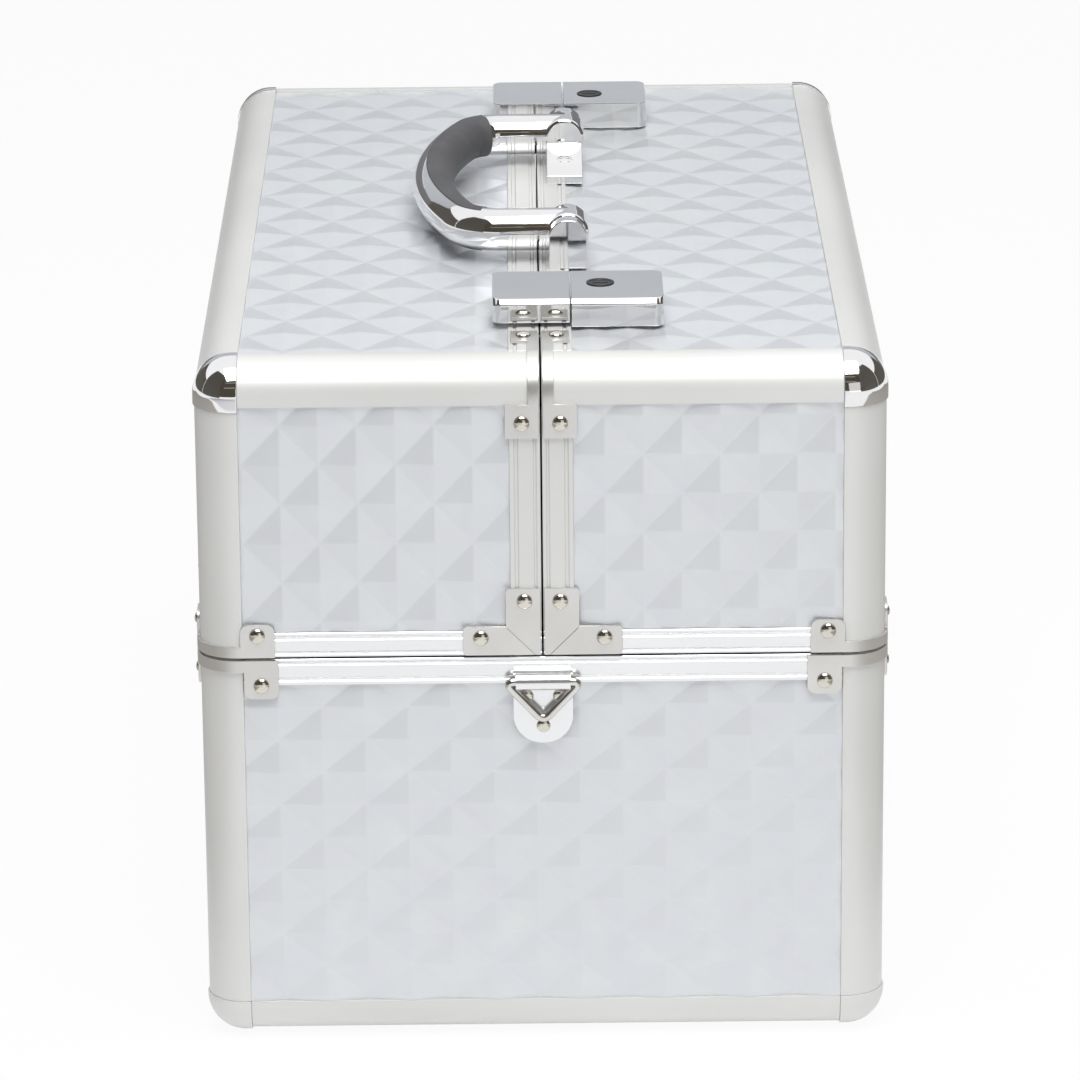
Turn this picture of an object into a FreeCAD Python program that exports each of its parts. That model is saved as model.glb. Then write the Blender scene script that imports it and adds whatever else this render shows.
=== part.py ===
import FreeCAD, Part
import math
import os
from FreeCAD import Vector as V

os.makedirs("parts", exist_ok=True)

# Driving dimensions of the case, in millimetres
WIDTH = 216.0
LENGTH = 374.0
HEIGHT = 224.0
SEAM_Z = 128.3
SEAM_GAP = 0.6

# Edge rails
RAIL_R = 12.0
RAIL_LEG = 13.8
RAIL_T = 1.5
RAIL_BLOCK = 8.0
FOOT_LEG = 12.4
CORNER_PROUD = 0.5

# Wall build-up behind the rails
BOARD_T = 4.5
LINING_T = 2.5
RIM_CAP = 1.5
LID_RIM_H = 8.0
BASE_RIM_H = 8.7
SEAM_RAIL_W = 9.7
GROOVE = 0.4

# Diamond relief
RELIEF_H = 1.3
RELIEF_LOW = 0.2
RELIEF_EDGE = 0.45

# Sheet hardware
PLATE_T = 1.0
RIVET_R = 2.5
RIVET_H = 1.4

# Hinges
BARREL_R = 2.2
PIN_R = 1.2
FIT = 0.05
HINGE_Y = 72.0
HINGE_LEN = 40.0
HINGE_LEAF = 16.0

# Cantilever trays
ARM_X = -52.0
ARM_Z = 44.0
ARM_W = 8.0
ARM_T = 1.5
STUD_R = 1.5
PIVOT_Z = SEAM_Z - 6.3
PIVOT_A = 62.0
PIVOT_B = 85.0
TRAY_X0 = 4.0
TRAY_X1 = 90.0
LOW_Z0 = SEAM_Z + 9.2
LOW_H = 23.5
TRAY_GAP = 1.5
UP_H = 26.0
TRAY_WALL = 1.6
TRAY_FLOOR = 1.6
TRAY_END_GAP = 3.0

# Latches
LATCH_W = 29.0
LATCH_H = 9.0
LATCH_INSET = 60.15
LATCH_Y = LENGTH / 2.0 - LATCH_INSET
HASP_X0 = -14.9
LATCH_SPLIT = 9.9
LOCK_X1 = 39.4
LATCH_GAP = 0.4
KEY_X = 19.5
KEY_R = 4.5

# Handle
HANDLE_PIVOT_X = 9.8
HANDLE_PIVOT_H = 10.0
TUBE_R = 7.0
HANDLE_HALF = 64.0
HANDLE_BEND_X = -12.0
HANDLE_REACH = 42.0
HANDLE_PIN_R = 2.0
BEND_R = 14.0
GRIP_INSET = 1.0
GRIP_HALF = 46.0
LUG_T = 5.8
BRACKET_IN = 33.0

# Strap rings
WIRE_R = 1.4
LOOP_R = 2.6
RING_OUT = 4.0
RING_HALF = 12.0
RING_DROP = 13.0
RING_Z = SEAM_Z - 7.3

# Derived sizes
HW = WIDTH / 2.0
HL = LENGTH / 2.0
WALL = RAIL_T + BOARD_T + LINING_T
BASE_TOP = SEAM_Z - SEAM_GAP / 2.0
LID_BOT = SEAM_Z + SEAM_GAP / 2.0
SEAM_X = SEAM_GAP / 2.0
HINGE_X = HW + BARREL_R + 0.3
EX = V(1, 0, 0)
EY = V(0, 1, 0)
EZ = V(0, 0, 1)


def box(x0, x1, y0, y1, z0, z1):
    return Part.makeBox(x1 - x0, y1 - y0, z1 - z0, V(x0, y0, z0))


def prism(points, direction):
    wire = Part.makePolygon(points + [points[0]])
    return Part.Face(wire).extrude(direction)


def cyl(radius, start, direction, length):
    return Part.makeCylinder(radius, length, start, direction)


def mirror_x(shape):
    return shape.mirror(V(0, 0, 0), EX)


def mirror_y(shape):
    return shape.mirror(V(0, 0, 0), EY)


def both_ends(shape):
    return [shape, mirror_y(shape)]


def fuse(shapes):
    body = shapes[0].multiFuse(shapes[1:]) if len(shapes) > 1 else shapes[0]
    return body.removeSplitter()


def save(name, shapes):
    solids = []
    for shape in shapes:
        solids.extend(shape.Solids)
    out = solids[0] if len(solids) == 1 else Part.makeCompound(solids)
    out.exportStep("parts/" + name + ".step")
    bb = out.BoundBox
    low = "%.1f %.1f %.1f" % (bb.XMin, bb.YMin, bb.ZMin)
    high = "%.1f %.1f %.1f" % (bb.XMax, bb.YMax, bb.ZMax)
    valid = all(s.isValid() for s in solids)
    print("%-26s %2d solid(s) %10.1f mm3  %s  %s  %s" % (name, len(solids), out.Volume, low, high, valid))


# Quarter-round rail along one straight box edge; eu and ev point inward from its two faces
def edge_rail(start, end, eu, ev, leg_u, leg_v):
    t = RAIL_T
    k = RAIL_R * (1.0 - math.sqrt(0.5))

    def at(u, v):
        return start + eu * u + ev * v

    edges = [
        Part.makeLine(at(0, leg_v), at(0, RAIL_R)),
        Part.Arc(at(0, RAIL_R), at(k, k), at(RAIL_R, 0)).toShape(),
        Part.makeLine(at(RAIL_R, 0), at(leg_u, 0)),
        Part.makeLine(at(leg_u, 0), at(leg_u, t)),
        Part.makeLine(at(leg_u, t), at(RAIL_BLOCK, t)),
        Part.makeLine(at(RAIL_BLOCK, t), at(RAIL_BLOCK, RAIL_BLOCK)),
        Part.makeLine(at(RAIL_BLOCK, RAIL_BLOCK), at(t, RAIL_BLOCK)),
        Part.makeLine(at(t, RAIL_BLOCK), at(t, leg_v)),
        Part.makeLine(at(t, leg_v), at(0, leg_v)),
    ]
    return Part.Face(Part.Wire(edges)).extrude(end - start)


# Rounded cap where three rails meet; legs run inward from the corner point
def corner_cap(corner, eu, ev, ew, leg_w):
    t = RAIL_T
    b = RAIL_BLOCK
    p = CORNER_PROUD
    r = RAIL_R + p
    solid = Part.makeBox(RAIL_LEG + p, RAIL_LEG + p, leg_w + p, V(-p, -p, -p))
    edges = []
    for edge in solid.Edges:
        mid = edge.CenterOfMass
        on = [abs(mid.x + p) < 1e-6, abs(mid.y + p) < 1e-6, abs(mid.z + p) < 1e-6]
        if sum(on) == 2:
            edges.append(edge)
    solid = solid.makeFillet(min(r, leg_w + p - 0.15), edges)
    far = 60.0
    solid = solid.cut(box(t, far, b, far, b, far))
    solid = solid.cut(box(b, far, t, far, b, far))
    solid = solid.cut(box(b, far, b, far, t, far))
    m = FreeCAD.Matrix(
        eu.x, ev.x, ew.x, corner.x,
        eu.y, ev.y, ew.y, corner.y,
        eu.z, ev.z, ew.z, corner.z,
        0, 0, 0, 1,
    )
    return solid.transformGeometry(m) if m.determinant() < 0 else solid.transformed(m)


# Angle rail along a panel border: outer leg with one shallow groove, and a cap across the wall
def border_rail(start, end, e_in, e_leg, leg):
    t = RAIL_T
    g = GROOVE
    profile = [
        (0, 0), (0, leg * 0.30), (g, leg * 0.34), (g, leg * 0.42), (0, leg * 0.46),
        (0, leg), (t, leg), (t, RIM_CAP), (WALL, RIM_CAP), (WALL, 0),
    ]
    points = [start + e_in * u + e_leg * v for u, v in profile]
    return prism(points, end - start)


def clip(poly, axis, value, keep_above):
    out = []
    for i, cur in enumerate(poly):
        prev = poly[i - 1]
        d0 = prev[axis] - value
        d1 = cur[axis] - value
        if not keep_above:
            d0 = -d0
            d1 = -d1
        if (d0 < 0) != (d1 < 0):
            f = d0 / (d0 - d1)
            cut = [prev[k] + (cur[k] - prev[k]) * f for k in range(3)]
            cut[axis] = value
            out.append(tuple(cut))
        if d1 >= 0:
            out.append(cur)
    return out


# Embossed board: flat core with a field of square-based pyramids inside its window
def diamond_panel(origin, ea, eb, en, board, window, pitch, centre):
    a0, a1, b0, b1 = board
    w0, w1, h0, h1 = [round(v, 5) for v in window]
    ha = pitch[0] / 2.0
    hb = pitch[1] / 2.0
    low = RELIEF_LOW
    high = RELIEF_H

    def at(p):
        return origin + ea * p[0] + eb * p[1] + en * p[2]

    faces = []
    border = {0: set(), 1: set(), 2: set(), 3: set()}

    def snap(p):
        sides = []
        if abs(p[0] - w0) < 1e-5:
            sides.append(0)
        if abs(p[0] - w1) < 1e-5:
            sides.append(1)
        if abs(p[1] - h0) < 1e-5:
            sides.append(2)
        if abs(p[1] - h1) < 1e-5:
            sides.append(3)
        q = (round(p[0], 5), round(p[1], 5), round(p[2], 5))
        for side in sides:
            for known in border[side]:
                if max(abs(known[m] - p[m]) for m in range(3)) < 1e-3:
                    q = known
        for side in sides:
            border[side].add(q)
        return q

    i_lo = int(math.floor((w0 - centre[0]) / ha)) - 2
    i_hi = int(math.ceil((w1 - centre[0]) / ha)) + 2
    j_lo = int(math.floor((h0 - centre[1]) / hb)) - 2
    j_hi = int(math.ceil((h1 - centre[1]) / hb)) + 2
    for i in range(i_lo, i_hi + 1):
        for j in range(j_lo, j_hi + 1):
            if (i + j) % 2:
                continue
            ca = centre[0] + i * ha
            cb = centre[1] + j * hb
            apex = (ca, cb, high)
            ring = [(ca + ha, cb, low), (ca, cb + hb, low), (ca - ha, cb, low), (ca, cb - hb, low)]
            for k in range(4):
                poly = [apex, ring[k], ring[(k + 1) % 4]]
                for axis, value, above in ((0, w0, True), (0, w1, False), (1, h0, True), (1, h1, False)):
                    if poly:
                        poly = clip(poly, axis, value, above)
                clean = []
                for p in poly:
                    q = snap(p)
                    if q not in clean:
                        clean.append(q)
                if len(clean) < 3:
                    continue
                for m in range(1, len(clean) - 1):
                    tri = [at(clean[0]), at(clean[m]), at(clean[m + 1])]
                    faces.append(Part.Face(Part.makePolygon(tri + [tri[0]])))
    corners = [(w0, h0), (w1, h0), (w1, h1), (w0, h1)]
    for side, points in border.items():
        key = 1 if side < 2 else 0
        line = sorted(points, key=lambda p: p[key])
        first = (line[0][0], line[0][1], 0.0)
        last = (line[-1][0], line[-1][1], 0.0)
        poly = [first] + line + [last]
        faces.append(Part.Face(Part.makePolygon([at(p) for p in poly] + [at(first)])))
    t = BOARD_T
    outer = [(a0, b0, 0.0), (a1, b0, 0.0), (a1, b1, 0.0), (a0, b1, 0.0)]
    inner = [(c[0], c[1], 0.0) for c in corners]
    outer_wire = Part.makePolygon([at(p) for p in outer] + [at(outer[0])])
    inner_wire = Part.makePolygon([at(p) for p in inner] + [at(inner[0])])
    inner_wire.reverse()
    faces.append(Part.Face([outer_wire, inner_wire]))
    under = [(p[0], p[1], -t) for p in outer]
    faces.append(Part.Face(Part.makePolygon([at(p) for p in under] + [at(under[0])])))
    for k in range(4):
        n = (k + 1) % 4
        quad = [outer[k], outer[n], under[n], under[k]]
        faces.append(Part.Face(Part.makePolygon([at(p) for p in quad] + [at(quad[0])])))
    shell = Part.makeShell(faces)
    shell.sewShape()
    shell = shell.Shells[0] if shell.ShapeType != "Shell" else shell
    solid = Part.makeSolid(shell)
    if solid.Volume < 0:
        solid.reverse()
    return solid


def rivet(point, direction, scale=1.0):
    return Part.makeCone(RIVET_R * scale, RIVET_R * 0.55 * scale, RIVET_H * scale, point, direction)


# Panels of the base
BOARD_IN = RAIL_T
BASE_BOARD_TOP = BASE_TOP - RIM_CAP
END_Y = -HL + RAIL_T
base_end_board = (-HW + RAIL_BLOCK, HW - RAIL_BLOCK, RAIL_BLOCK, BASE_BOARD_TOP)
base_end_window = (
    -HW + RAIL_LEG + RELIEF_EDGE, HW - RAIL_LEG - RELIEF_EDGE,
    FOOT_LEG + RELIEF_EDGE, BASE_TOP - BASE_RIM_H - RELIEF_EDGE,
)
base_front = diamond_panel(
    V(0, END_Y, 0), EX, EZ, EY * -1.0, base_end_board, base_end_window, (27.1, 21.8), (-70.0, 100.7))
base_side_board = (-HL + RAIL_BLOCK, HL - RAIL_BLOCK, RAIL_BLOCK, BASE_BOARD_TOP)
base_side_window = (
    -HL + RAIL_LEG + RELIEF_EDGE, HL - RAIL_LEG - RELIEF_EDGE,
    FOOT_LEG + RELIEF_EDGE, BASE_TOP - BASE_RIM_H - RELIEF_EDGE,
)
base_right = diamond_panel(
    V(HW - RAIL_T, 0, 0), EY, EZ, EX, base_side_board, base_side_window, (27.1, 21.8), (4.0, 100.7))
save("base_end_panels", both_ends(base_front))
save("base_side_panels", [base_right, mirror_x(base_right)])
save("base_bottom_panel", [box(
    -HW + RAIL_BLOCK, HW - RAIL_BLOCK, -HL + RAIL_BLOCK, HL - RAIL_BLOCK, RAIL_T, RAIL_T + BOARD_T)])

# Rails of the base
posts = []
for sx in (-1, 1):
    for sy in (-1, 1):
        a = V(sx * HW, sy * HL, FOOT_LEG)
        b = V(sx * HW, sy * HL, BASE_TOP)
        posts.append(edge_rail(a, b, EX * -sx, EY * -sy, RAIL_LEG, RAIL_LEG))
save("base_corner_posts", posts)
feet = []
for sy in (-1, 1):
    a = V(-HW + RAIL_LEG, sy * HL, 0)
    b = V(HW - RAIL_LEG, sy * HL, 0)
    feet.append(edge_rail(a, b, EY * -sy, EZ, RAIL_LEG, FOOT_LEG))
for sx in (-1, 1):
    a = V(sx * HW, -HL + RAIL_LEG, 0)
    b = V(sx * HW, HL - RAIL_LEG, 0)
    feet.append(edge_rail(a, b, EX * -sx, EZ, RAIL_LEG, FOOT_LEG))
save("base_bottom_rails", feet)
caps = []
for sx in (-1, 1):
    for sy in (-1, 1):
        caps.append((sx, sy))
front_left_foot = corner_cap(V(-HW, -HL, 0), EX, EY, EZ, FOOT_LEG)
lowest = box(-HW - 5, 0, -HL - 5, 0, -5, 0)
front_left_foot = front_left_foot.cut(lowest)
foot_caps = [front_left_foot, mirror_x(front_left_foot)]
foot_caps = foot_caps + [mirror_y(s) for s in foot_caps]
save("base_bottom_corners", foot_caps)
rims = []
for sy in (-1, 1):
    a = V(-HW + RAIL_LEG, sy * HL, BASE_TOP)
    b = V(HW - RAIL_LEG, sy * HL, BASE_TOP)
    rims.append(border_rail(a, b, EY * -sy, EZ * -1.0, BASE_RIM_H))
for sx in (-1, 1):
    a = V(sx * HW, -HL + RAIL_LEG, BASE_TOP)
    b = V(sx * HW, HL - RAIL_LEG, BASE_TOP)
    rims.append(border_rail(a, b, EX * -sx, EZ * -1.0, BASE_RIM_H))
save("base_rim_rails", rims)

# Lining of the base
lx = HW - RAIL_T - BOARD_T
ly = HL - RAIL_T - BOARD_T
nb = RAIL_BLOCK
base_lining = box(-lx, lx, -ly, ly, RAIL_T + BOARD_T, BASE_BOARD_TOP)
base_lining = base_lining.cut(box(
    -lx + LINING_T, lx - LINING_T, -ly + LINING_T, ly - LINING_T, WALL, BASE_TOP + 10))
for sx in (-1, 1):
    x0, x1 = sorted((sx * (HW - nb), sx * HW))
    base_lining = base_lining.cut(box(x0, x1, -HL, HL, 0, nb))
    for sy in (-1, 1):
        y0, y1 = sorted((sy * (HL - nb), sy * HL))
        base_lining = base_lining.cut(box(x0, x1, y0, y1, 0, HEIGHT))
for sy in (-1, 1):
    y0, y1 = sorted((sy * (HL - nb), sy * HL))
    base_lining = base_lining.cut(box(-HW, HW, y0, y1, 0, nb))
save("base_lining", [base_lining])


# Corner bracket at the seam: a rounded flange on each face joined by a strip round the corner
def rim_bracket(z_edge, strip, flange_h, up, x_out):
    s = 1.0 if up else -1.0
    z0 = z_edge
    z1 = z_edge + s * strip
    zf = z_edge + s * flange_h
    cx = HW - RAIL_R
    cy = -HL + RAIL_R
    lo = min(z0, z1)
    ring = cyl(RAIL_R + PLATE_T, V(cx, cy, lo), EZ, strip)
    ring = ring.cut(cyl(RAIL_R + 0.04, V(cx, cy, lo - 1), EZ, strip + 2))
    ring = ring.common(box(cx, HW + 5, -HL - 5, cy, lo - 1, lo + strip + 1))
    width = 11.0
    c = 3.0
    tail = [
        V(cx, -HL, z0), V(x_out - width, -HL, z0), V(x_out - width, -HL, zf - s * c),
        V(x_out - width + c, -HL, zf), V(x_out - c, -HL, zf), V(x_out, -HL, zf - s * c),
        V(x_out, -HL, z1), V(cx, -HL, z1),
    ]
    front = prism(tail, EY * -PLATE_T)
    shift = x_out - HW
    side = []
    for p in tail:
        side.append(V(HW, -HL + (HW - p.x), p.z))
    lateral = prism(side, EX * PLATE_T)
    mid = (zf + z1) / 2.0
    heads = [
        rivet(V(x_out - width / 2.0, -HL - PLATE_T, mid), EY * -1.0),
        rivet(V(HW + PLATE_T, -HL - shift + width / 2.0, mid), EX),
    ]
    return fuse([front, ring, lateral]), heads


# Base brackets and rivets
base_brackets = []
base_heads = []
plate, heads = rim_bracket(BASE_TOP - 0.1, 4.0, 12.8, False, HW - 14.0)
quarter = [plate, mirror_x(plate)]
base_brackets = quarter + [mirror_y(s) for s in quarter]
for h in heads:
    pair = [h, mirror_x(h)]
    base_heads.extend(pair + [mirror_y(s) for s in pair])
save("base_rim_brackets", base_brackets)

# Strap plates with a folded loop for the ring
strap_t = 1.2
ring_y = -HL - RING_OUT
plate_half = 9.4
plate_low = RING_Z - 21.2
pl = []
steps = 10
for i in range(steps + 1):
    ang = math.pi + math.pi * i / steps
    pl.append(V(plate_half * math.cos(ang), -HL, plate_low + 9.4 + plate_half * math.sin(ang)))
pl = pl + [V(plate_half, -HL, RING_Z + 2.0), V(-plate_half, -HL, RING_Z + 2.0)]
strap_plate = prism(pl, EY * -strap_t)
loop = cyl(LOOP_R, V(-7.0, ring_y, RING_Z), EX, 14.0)
web = box(-7.0, 7.0, ring_y, -HL - 0.2, RING_Z + 0.6, RING_Z + 1.9)
strap_plate = fuse([strap_plate, web, loop])
strap_plate = strap_plate.cut(cyl(WIRE_R + FIT, V(-8.0, ring_y, RING_Z), EX, 16.0))
save("base_strap_plates", both_ends(strap_plate))
for px, pz in ((-5.3, RING_Z - 5.0), (5.3, RING_Z - 5.0), (0.0, RING_Z - 15.5)):
    head = Part.makeCone(2.2, 1.4, 1.0, V(px, -HL - strap_t, pz), EY * -1.0)
    base_heads.extend(both_ends(head))

# Strap rings
top_l = V(-RING_HALF, ring_y, RING_Z)
top_r = V(RING_HALF, ring_y, RING_Z)
vertex = V(0, ring_y, RING_Z - RING_DROP)
ring_parts = []
for p, q in ((top_l, top_r), (top_r, vertex), (vertex, top_l)):
    d = q - p
    ring_parts.append(cyl(WIRE_R, p, d, d.Length))
for p in (top_l, top_r, vertex):
    ring_parts.append(Part.makeSphere(WIRE_R, p))
ring_front = fuse(ring_parts)
save("strap_ring_front", [ring_front])
save("strap_ring_back", [mirror_y(ring_front)])

# Hinges on the two long sides
knuckle = HINGE_LEN / 4.0


def barrel(y0, length):
    tube = cyl(BARREL_R, V(HINGE_X, y0, SEAM_Z), EY, length)
    return tube.cut(cyl(PIN_R + FIT, V(HINGE_X, y0 - 1, SEAM_Z), EY, length + 2))


base_leaves = []
lid_leaves = []
lid_heads = []
for cy in (-HINGE_Y, HINGE_Y):
    y0 = cy - HINGE_LEN / 2.0
    leaf = box(HW, HW + PLATE_T, y0, y0 + HINGE_LEN, BASE_TOP - 2.4 - HINGE_LEAF, BASE_TOP - 2.4)
    parts = [leaf]
    for k0 in (y0, y0 + 3.0 * knuckle):
        neck = box(HW + 0.1, HW + PLATE_T, k0, k0 + knuckle - 0.2, BASE_TOP - 4.0, SEAM_Z)
        parts.append(neck)
        parts.append(cyl(BARREL_R, V(HINGE_X, k0, SEAM_Z), EY, knuckle - 0.2))
    parts.append(cyl(PIN_R, V(HINGE_X, y0, SEAM_Z), EY, HINGE_LEN - 0.2))
    base_leaves.append(fuse(parts))
    top = box(HW, HW + PLATE_T, y0, y0 + HINGE_LEN, LID_BOT + 2.4, LID_BOT + 2.4 + HINGE_LEAF)
    k0 = y0 + knuckle
    neck = box(HW + 0.1, HW + PLATE_T, k0, k0 + 2.0 * knuckle - 0.2, SEAM_Z, LID_BOT + 4.0)
    mid = cyl(BARREL_R, V(HINGE_X, k0, SEAM_Z), EY, 2.0 * knuckle - 0.2)
    top = fuse([top, neck, mid]).cut(cyl(PIN_R + FIT, V(HINGE_X, y0 - 1, SEAM_Z), EY, HINGE_LEN + 2))
    lid_leaves.append(top)
    for dy in (-13.0, 13.0):
        low = rivet(V(HW + PLATE_T, cy + dy, BASE_TOP - 2.4 - HINGE_LEAF * 0.62), EX, 0.8)
        base_heads.extend([low, mirror_x(low)])
        lid_heads.append(rivet(V(HW + PLATE_T, cy + dy, LID_BOT + 2.4 + HINGE_LEAF * 0.62), EX, 0.8))
save("base_hinge_leaves", base_leaves + [mirror_x(s) for s in base_leaves])
save("base_rivets", base_heads)

# Pivot studs of the tray arms, on the lined end walls of the base
inner_y = HL - WALL
arm_y0 = inner_y - 2.2
stud_len = 2.6
studs = []
for px in (PIVOT_A, PIVOT_B):
    stud = cyl(STUD_R, V(px, -inner_y, PIVOT_Z), EY, stud_len)
    studs.extend(both_ends(stud))
save("base_arm_studs", studs + [mirror_x(s) for s in studs])

# Panels of the lids
lid_board_bot = LID_BOT + RIM_CAP
lid_end_board = (SEAM_X + RIM_CAP, HW - RAIL_BLOCK, lid_board_bot, HEIGHT - RAIL_BLOCK)
lid_end_window = (
    SEAM_X + SEAM_RAIL_W + RELIEF_EDGE, HW - RAIL_LEG - RELIEF_EDGE,
    LID_BOT + LID_RIM_H + RELIEF_EDGE, HEIGHT - RAIL_LEG - RELIEF_EDGE,
)


def flip(r):
    return (-r[1], -r[0], r[2], r[3])


right_end = diamond_panel(
    V(0, END_Y, 0), EX, EZ, EY * -1.0, lid_end_board, lid_end_window, (24.0, 25.4), (31.7, 206.6))
left_end = diamond_panel(
    V(0, END_Y, 0), EX, EZ, EY * -1.0, flip(lid_end_board), flip(lid_end_window), (24.0, 25.6), (-81.5, 191.3))
save("right_lid_end_panels", both_ends(right_end))
save("left_lid_end_panels", both_ends(left_end))
lid_side_board = (-HL + RAIL_BLOCK, HL - RAIL_BLOCK, lid_board_bot, HEIGHT - RAIL_BLOCK)
lid_side_window = (
    -HL + RAIL_LEG + RELIEF_EDGE, HL - RAIL_LEG - RELIEF_EDGE,
    LID_BOT + LID_RIM_H + RELIEF_EDGE, HEIGHT - RAIL_LEG - RELIEF_EDGE,
)
lid_side = diamond_panel(
    V(HW - RAIL_T, 0, 0), EY, EZ, EX, lid_side_board, lid_side_window, (24.0, 25.6), (5.0, 191.3))
save("right_lid_side_panel", [lid_side])
save("left_lid_side_panel", [mirror_x(lid_side)])
lid_top_board = (SEAM_X + RIM_CAP, HW - RAIL_BLOCK, -HL + RAIL_BLOCK, HL - RAIL_BLOCK)
lid_top_window = (
    SEAM_X + SEAM_RAIL_W + RELIEF_EDGE, HW - RAIL_LEG - RELIEF_EDGE,
    -HL + RAIL_LEG + RELIEF_EDGE, HL - RAIL_LEG - RELIEF_EDGE,
)
top_at = V(0, 0, HEIGHT - RAIL_T)
right_top = diamond_panel(top_at, EX, EY, EZ, lid_top_board, lid_top_window, (24.0, 34.5), (51.9, -139.5))
left_top = diamond_panel(
    top_at, EX, EY, EZ, flip(lid_top_board), flip(lid_top_window), (24.0, 35.0), (-80.6, -149.5))
foot_x0 = LATCH_SPLIT + 4.0
foot_x1 = LOCK_X1 - 4.0
foot_w = LATCH_W / 2.0 - 4.0
for sy in (-1, 1):
    cy = sy * LATCH_Y
    right_top = right_top.cut(box(
        foot_x0 - 0.3, foot_x1 + 0.3, cy - foot_w - 0.3, cy + foot_w + 0.3, HEIGHT - RAIL_T, HEIGHT + 5))
save("right_lid_top_panel", [right_top])
save("left_lid_top_panel", [left_top])

# Rails of one lid, mirrored for the other
rails = []
a = V(HW, -HL + RAIL_LEG, HEIGHT)
b = V(HW, HL - RAIL_LEG, HEIGHT)
rails.append(edge_rail(a, b, EX * -1.0, EZ * -1.0, RAIL_LEG, RAIL_LEG))
for sy in (-1, 1):
    a = V(SEAM_X, sy * HL, HEIGHT)
    b = V(HW - RAIL_LEG, sy * HL, HEIGHT)
    rails.append(edge_rail(a, b, EY * -sy, EZ * -1.0, RAIL_LEG, RAIL_LEG))
    a = V(HW, sy * HL, LID_BOT)
    b = V(HW, sy * HL, HEIGHT - RAIL_LEG)
    rails.append(edge_rail(a, b, EX * -1.0, EY * -sy, RAIL_LEG, RAIL_LEG))
save("right_lid_edge_rails", rails)
save("left_lid_edge_rails", [mirror_x(s) for s in rails])
rims = []
for sy in (-1, 1):
    a = V(SEAM_X, sy * HL, LID_BOT)
    b = V(HW - RAIL_LEG, sy * HL, LID_BOT)
    rims.append(border_rail(a, b, EY * -sy, EZ, LID_RIM_H))
a = V(HW, -HL + RAIL_LEG, LID_BOT)
b = V(HW, HL - RAIL_LEG, LID_BOT)
rims.append(border_rail(a, b, EX * -1.0, EZ, LID_RIM_H))
save("right_lid_rim_rails", rims)
save("left_lid_rim_rails", [mirror_x(s) for s in rims])
seams = []
for sy in (-1, 1):
    a = V(SEAM_X, sy * HL, LID_BOT + LID_RIM_H)
    b = V(SEAM_X, sy * HL, HEIGHT - RAIL_LEG)
    seams.append(border_rail(a, b, EY * -sy, EX, SEAM_RAIL_W))
a = V(SEAM_X, -HL + RAIL_LEG, HEIGHT)
b = V(SEAM_X, HL - RAIL_LEG, HEIGHT)
seams.append(border_rail(a, b, EZ * -1.0, EX, SEAM_RAIL_W))
save("right_lid_seam_rails", seams)
save("left_lid_seam_rails", [mirror_x(s) for s in seams])
ball = corner_cap(V(-HW, -HL, HEIGHT), EX, EY, EZ * -1.0, RAIL_LEG)
save("left_lid_ball_corners", both_ends(ball))
save("right_lid_ball_corners", both_ends(mirror_x(ball)))

# Lining of one lid
lid_lining = box(SEAM_X + RIM_CAP, lx, -ly, ly, lid_board_bot, HEIGHT - RAIL_T - BOARD_T)
lid_lining = lid_lining.cut(box(
    -5, lx - LINING_T, -ly + LINING_T, ly - LINING_T, 0, HEIGHT - WALL))
lid_lining = lid_lining.cut(box(HW - nb, HW, -HL, HL, HEIGHT - nb, HEIGHT))
for sy in (-1, 1):
    y0, y1 = sorted((sy * (HL - nb), sy * HL))
    lid_lining = lid_lining.cut(box(-5, HW, y0, y1, HEIGHT - nb, HEIGHT))
    lid_lining = lid_lining.cut(box(HW - nb, HW, y0, y1, 0, HEIGHT))
z_cap = HEIGHT - WALL
lid_lining = lid_lining.cut(box(-5, SEAM_X + RIM_CAP, -HL, HL, 0, HEIGHT))
save("right_lid_lining", [lid_lining])
save("left_lid_lining", [mirror_x(lid_lining)])

# Brackets of one lid
e = SEAM_X + 0.3
elbow = [
    V(e, -HL, LID_BOT + 0.3), V(e + 24.5, -HL, LID_BOT + 0.3), V(e + 24.5, -HL, LID_BOT + 9.8),
    V(e + 11.0, -HL, LID_BOT + 9.8), V(e + 11.0, -HL, LID_BOT + 22.0), V(e, -HL, LID_BOT + 22.0),
]
elbow = prism(elbow, EY * -PLATE_T)
z_fl = HEIGHT - RAIL_LEG
flange = box(e, e + 10.7, -HL - PLATE_T, -HL, z_fl - 10.4, z_fl + 0.6)
neck_w = 3.5
cy = -HL + RAIL_R
cz = HEIGHT - RAIL_R
neck = cyl(RAIL_R + PLATE_T, V(e, cy, cz), EX, neck_w)
neck = neck.cut(cyl(RAIL_R + 0.04, V(e - 1, cy, cz), EX, neck_w + 2))
neck = neck.common(box(e - 1, e + neck_w + 1, -HL - 5, cy, cz, HEIGHT + 5))
neck_low = box(e, e + neck_w, -HL - PLATE_T, -HL, z_fl, cz)
neck_top = box(e, e + neck_w, cy, -HL + 23.0, HEIGHT, HEIGHT + PLATE_T)
top_flange = box(e, e + 8.6, -HL + 22.0, -HL + 33.0, HEIGHT, HEIGHT + PLATE_T)
saddle = fuse([flange, neck_low, neck, neck_top, top_flange])
plate, heads = rim_bracket(LID_BOT + 0.1, 3.6, 11.0, True, HW - 13.0)
lid_brackets = both_ends(elbow) + both_ends(saddle) + both_ends(plate)
for point, direction in (
    (V(e + 5.0, -HL - PLATE_T, LID_BOT + 18.0), EY * -1.0),
    (V(e + 18.8, -HL - PLATE_T, LID_BOT + 6.0), EY * -1.0),
    (V(e + 5.4, -HL - PLATE_T, z_fl - 5.5), EY * -1.0),
    (V(e + 4.6, -HL + 27.5, HEIGHT + PLATE_T), EZ),
):
    lid_heads.extend(both_ends(rivet(point, direction)))
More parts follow.
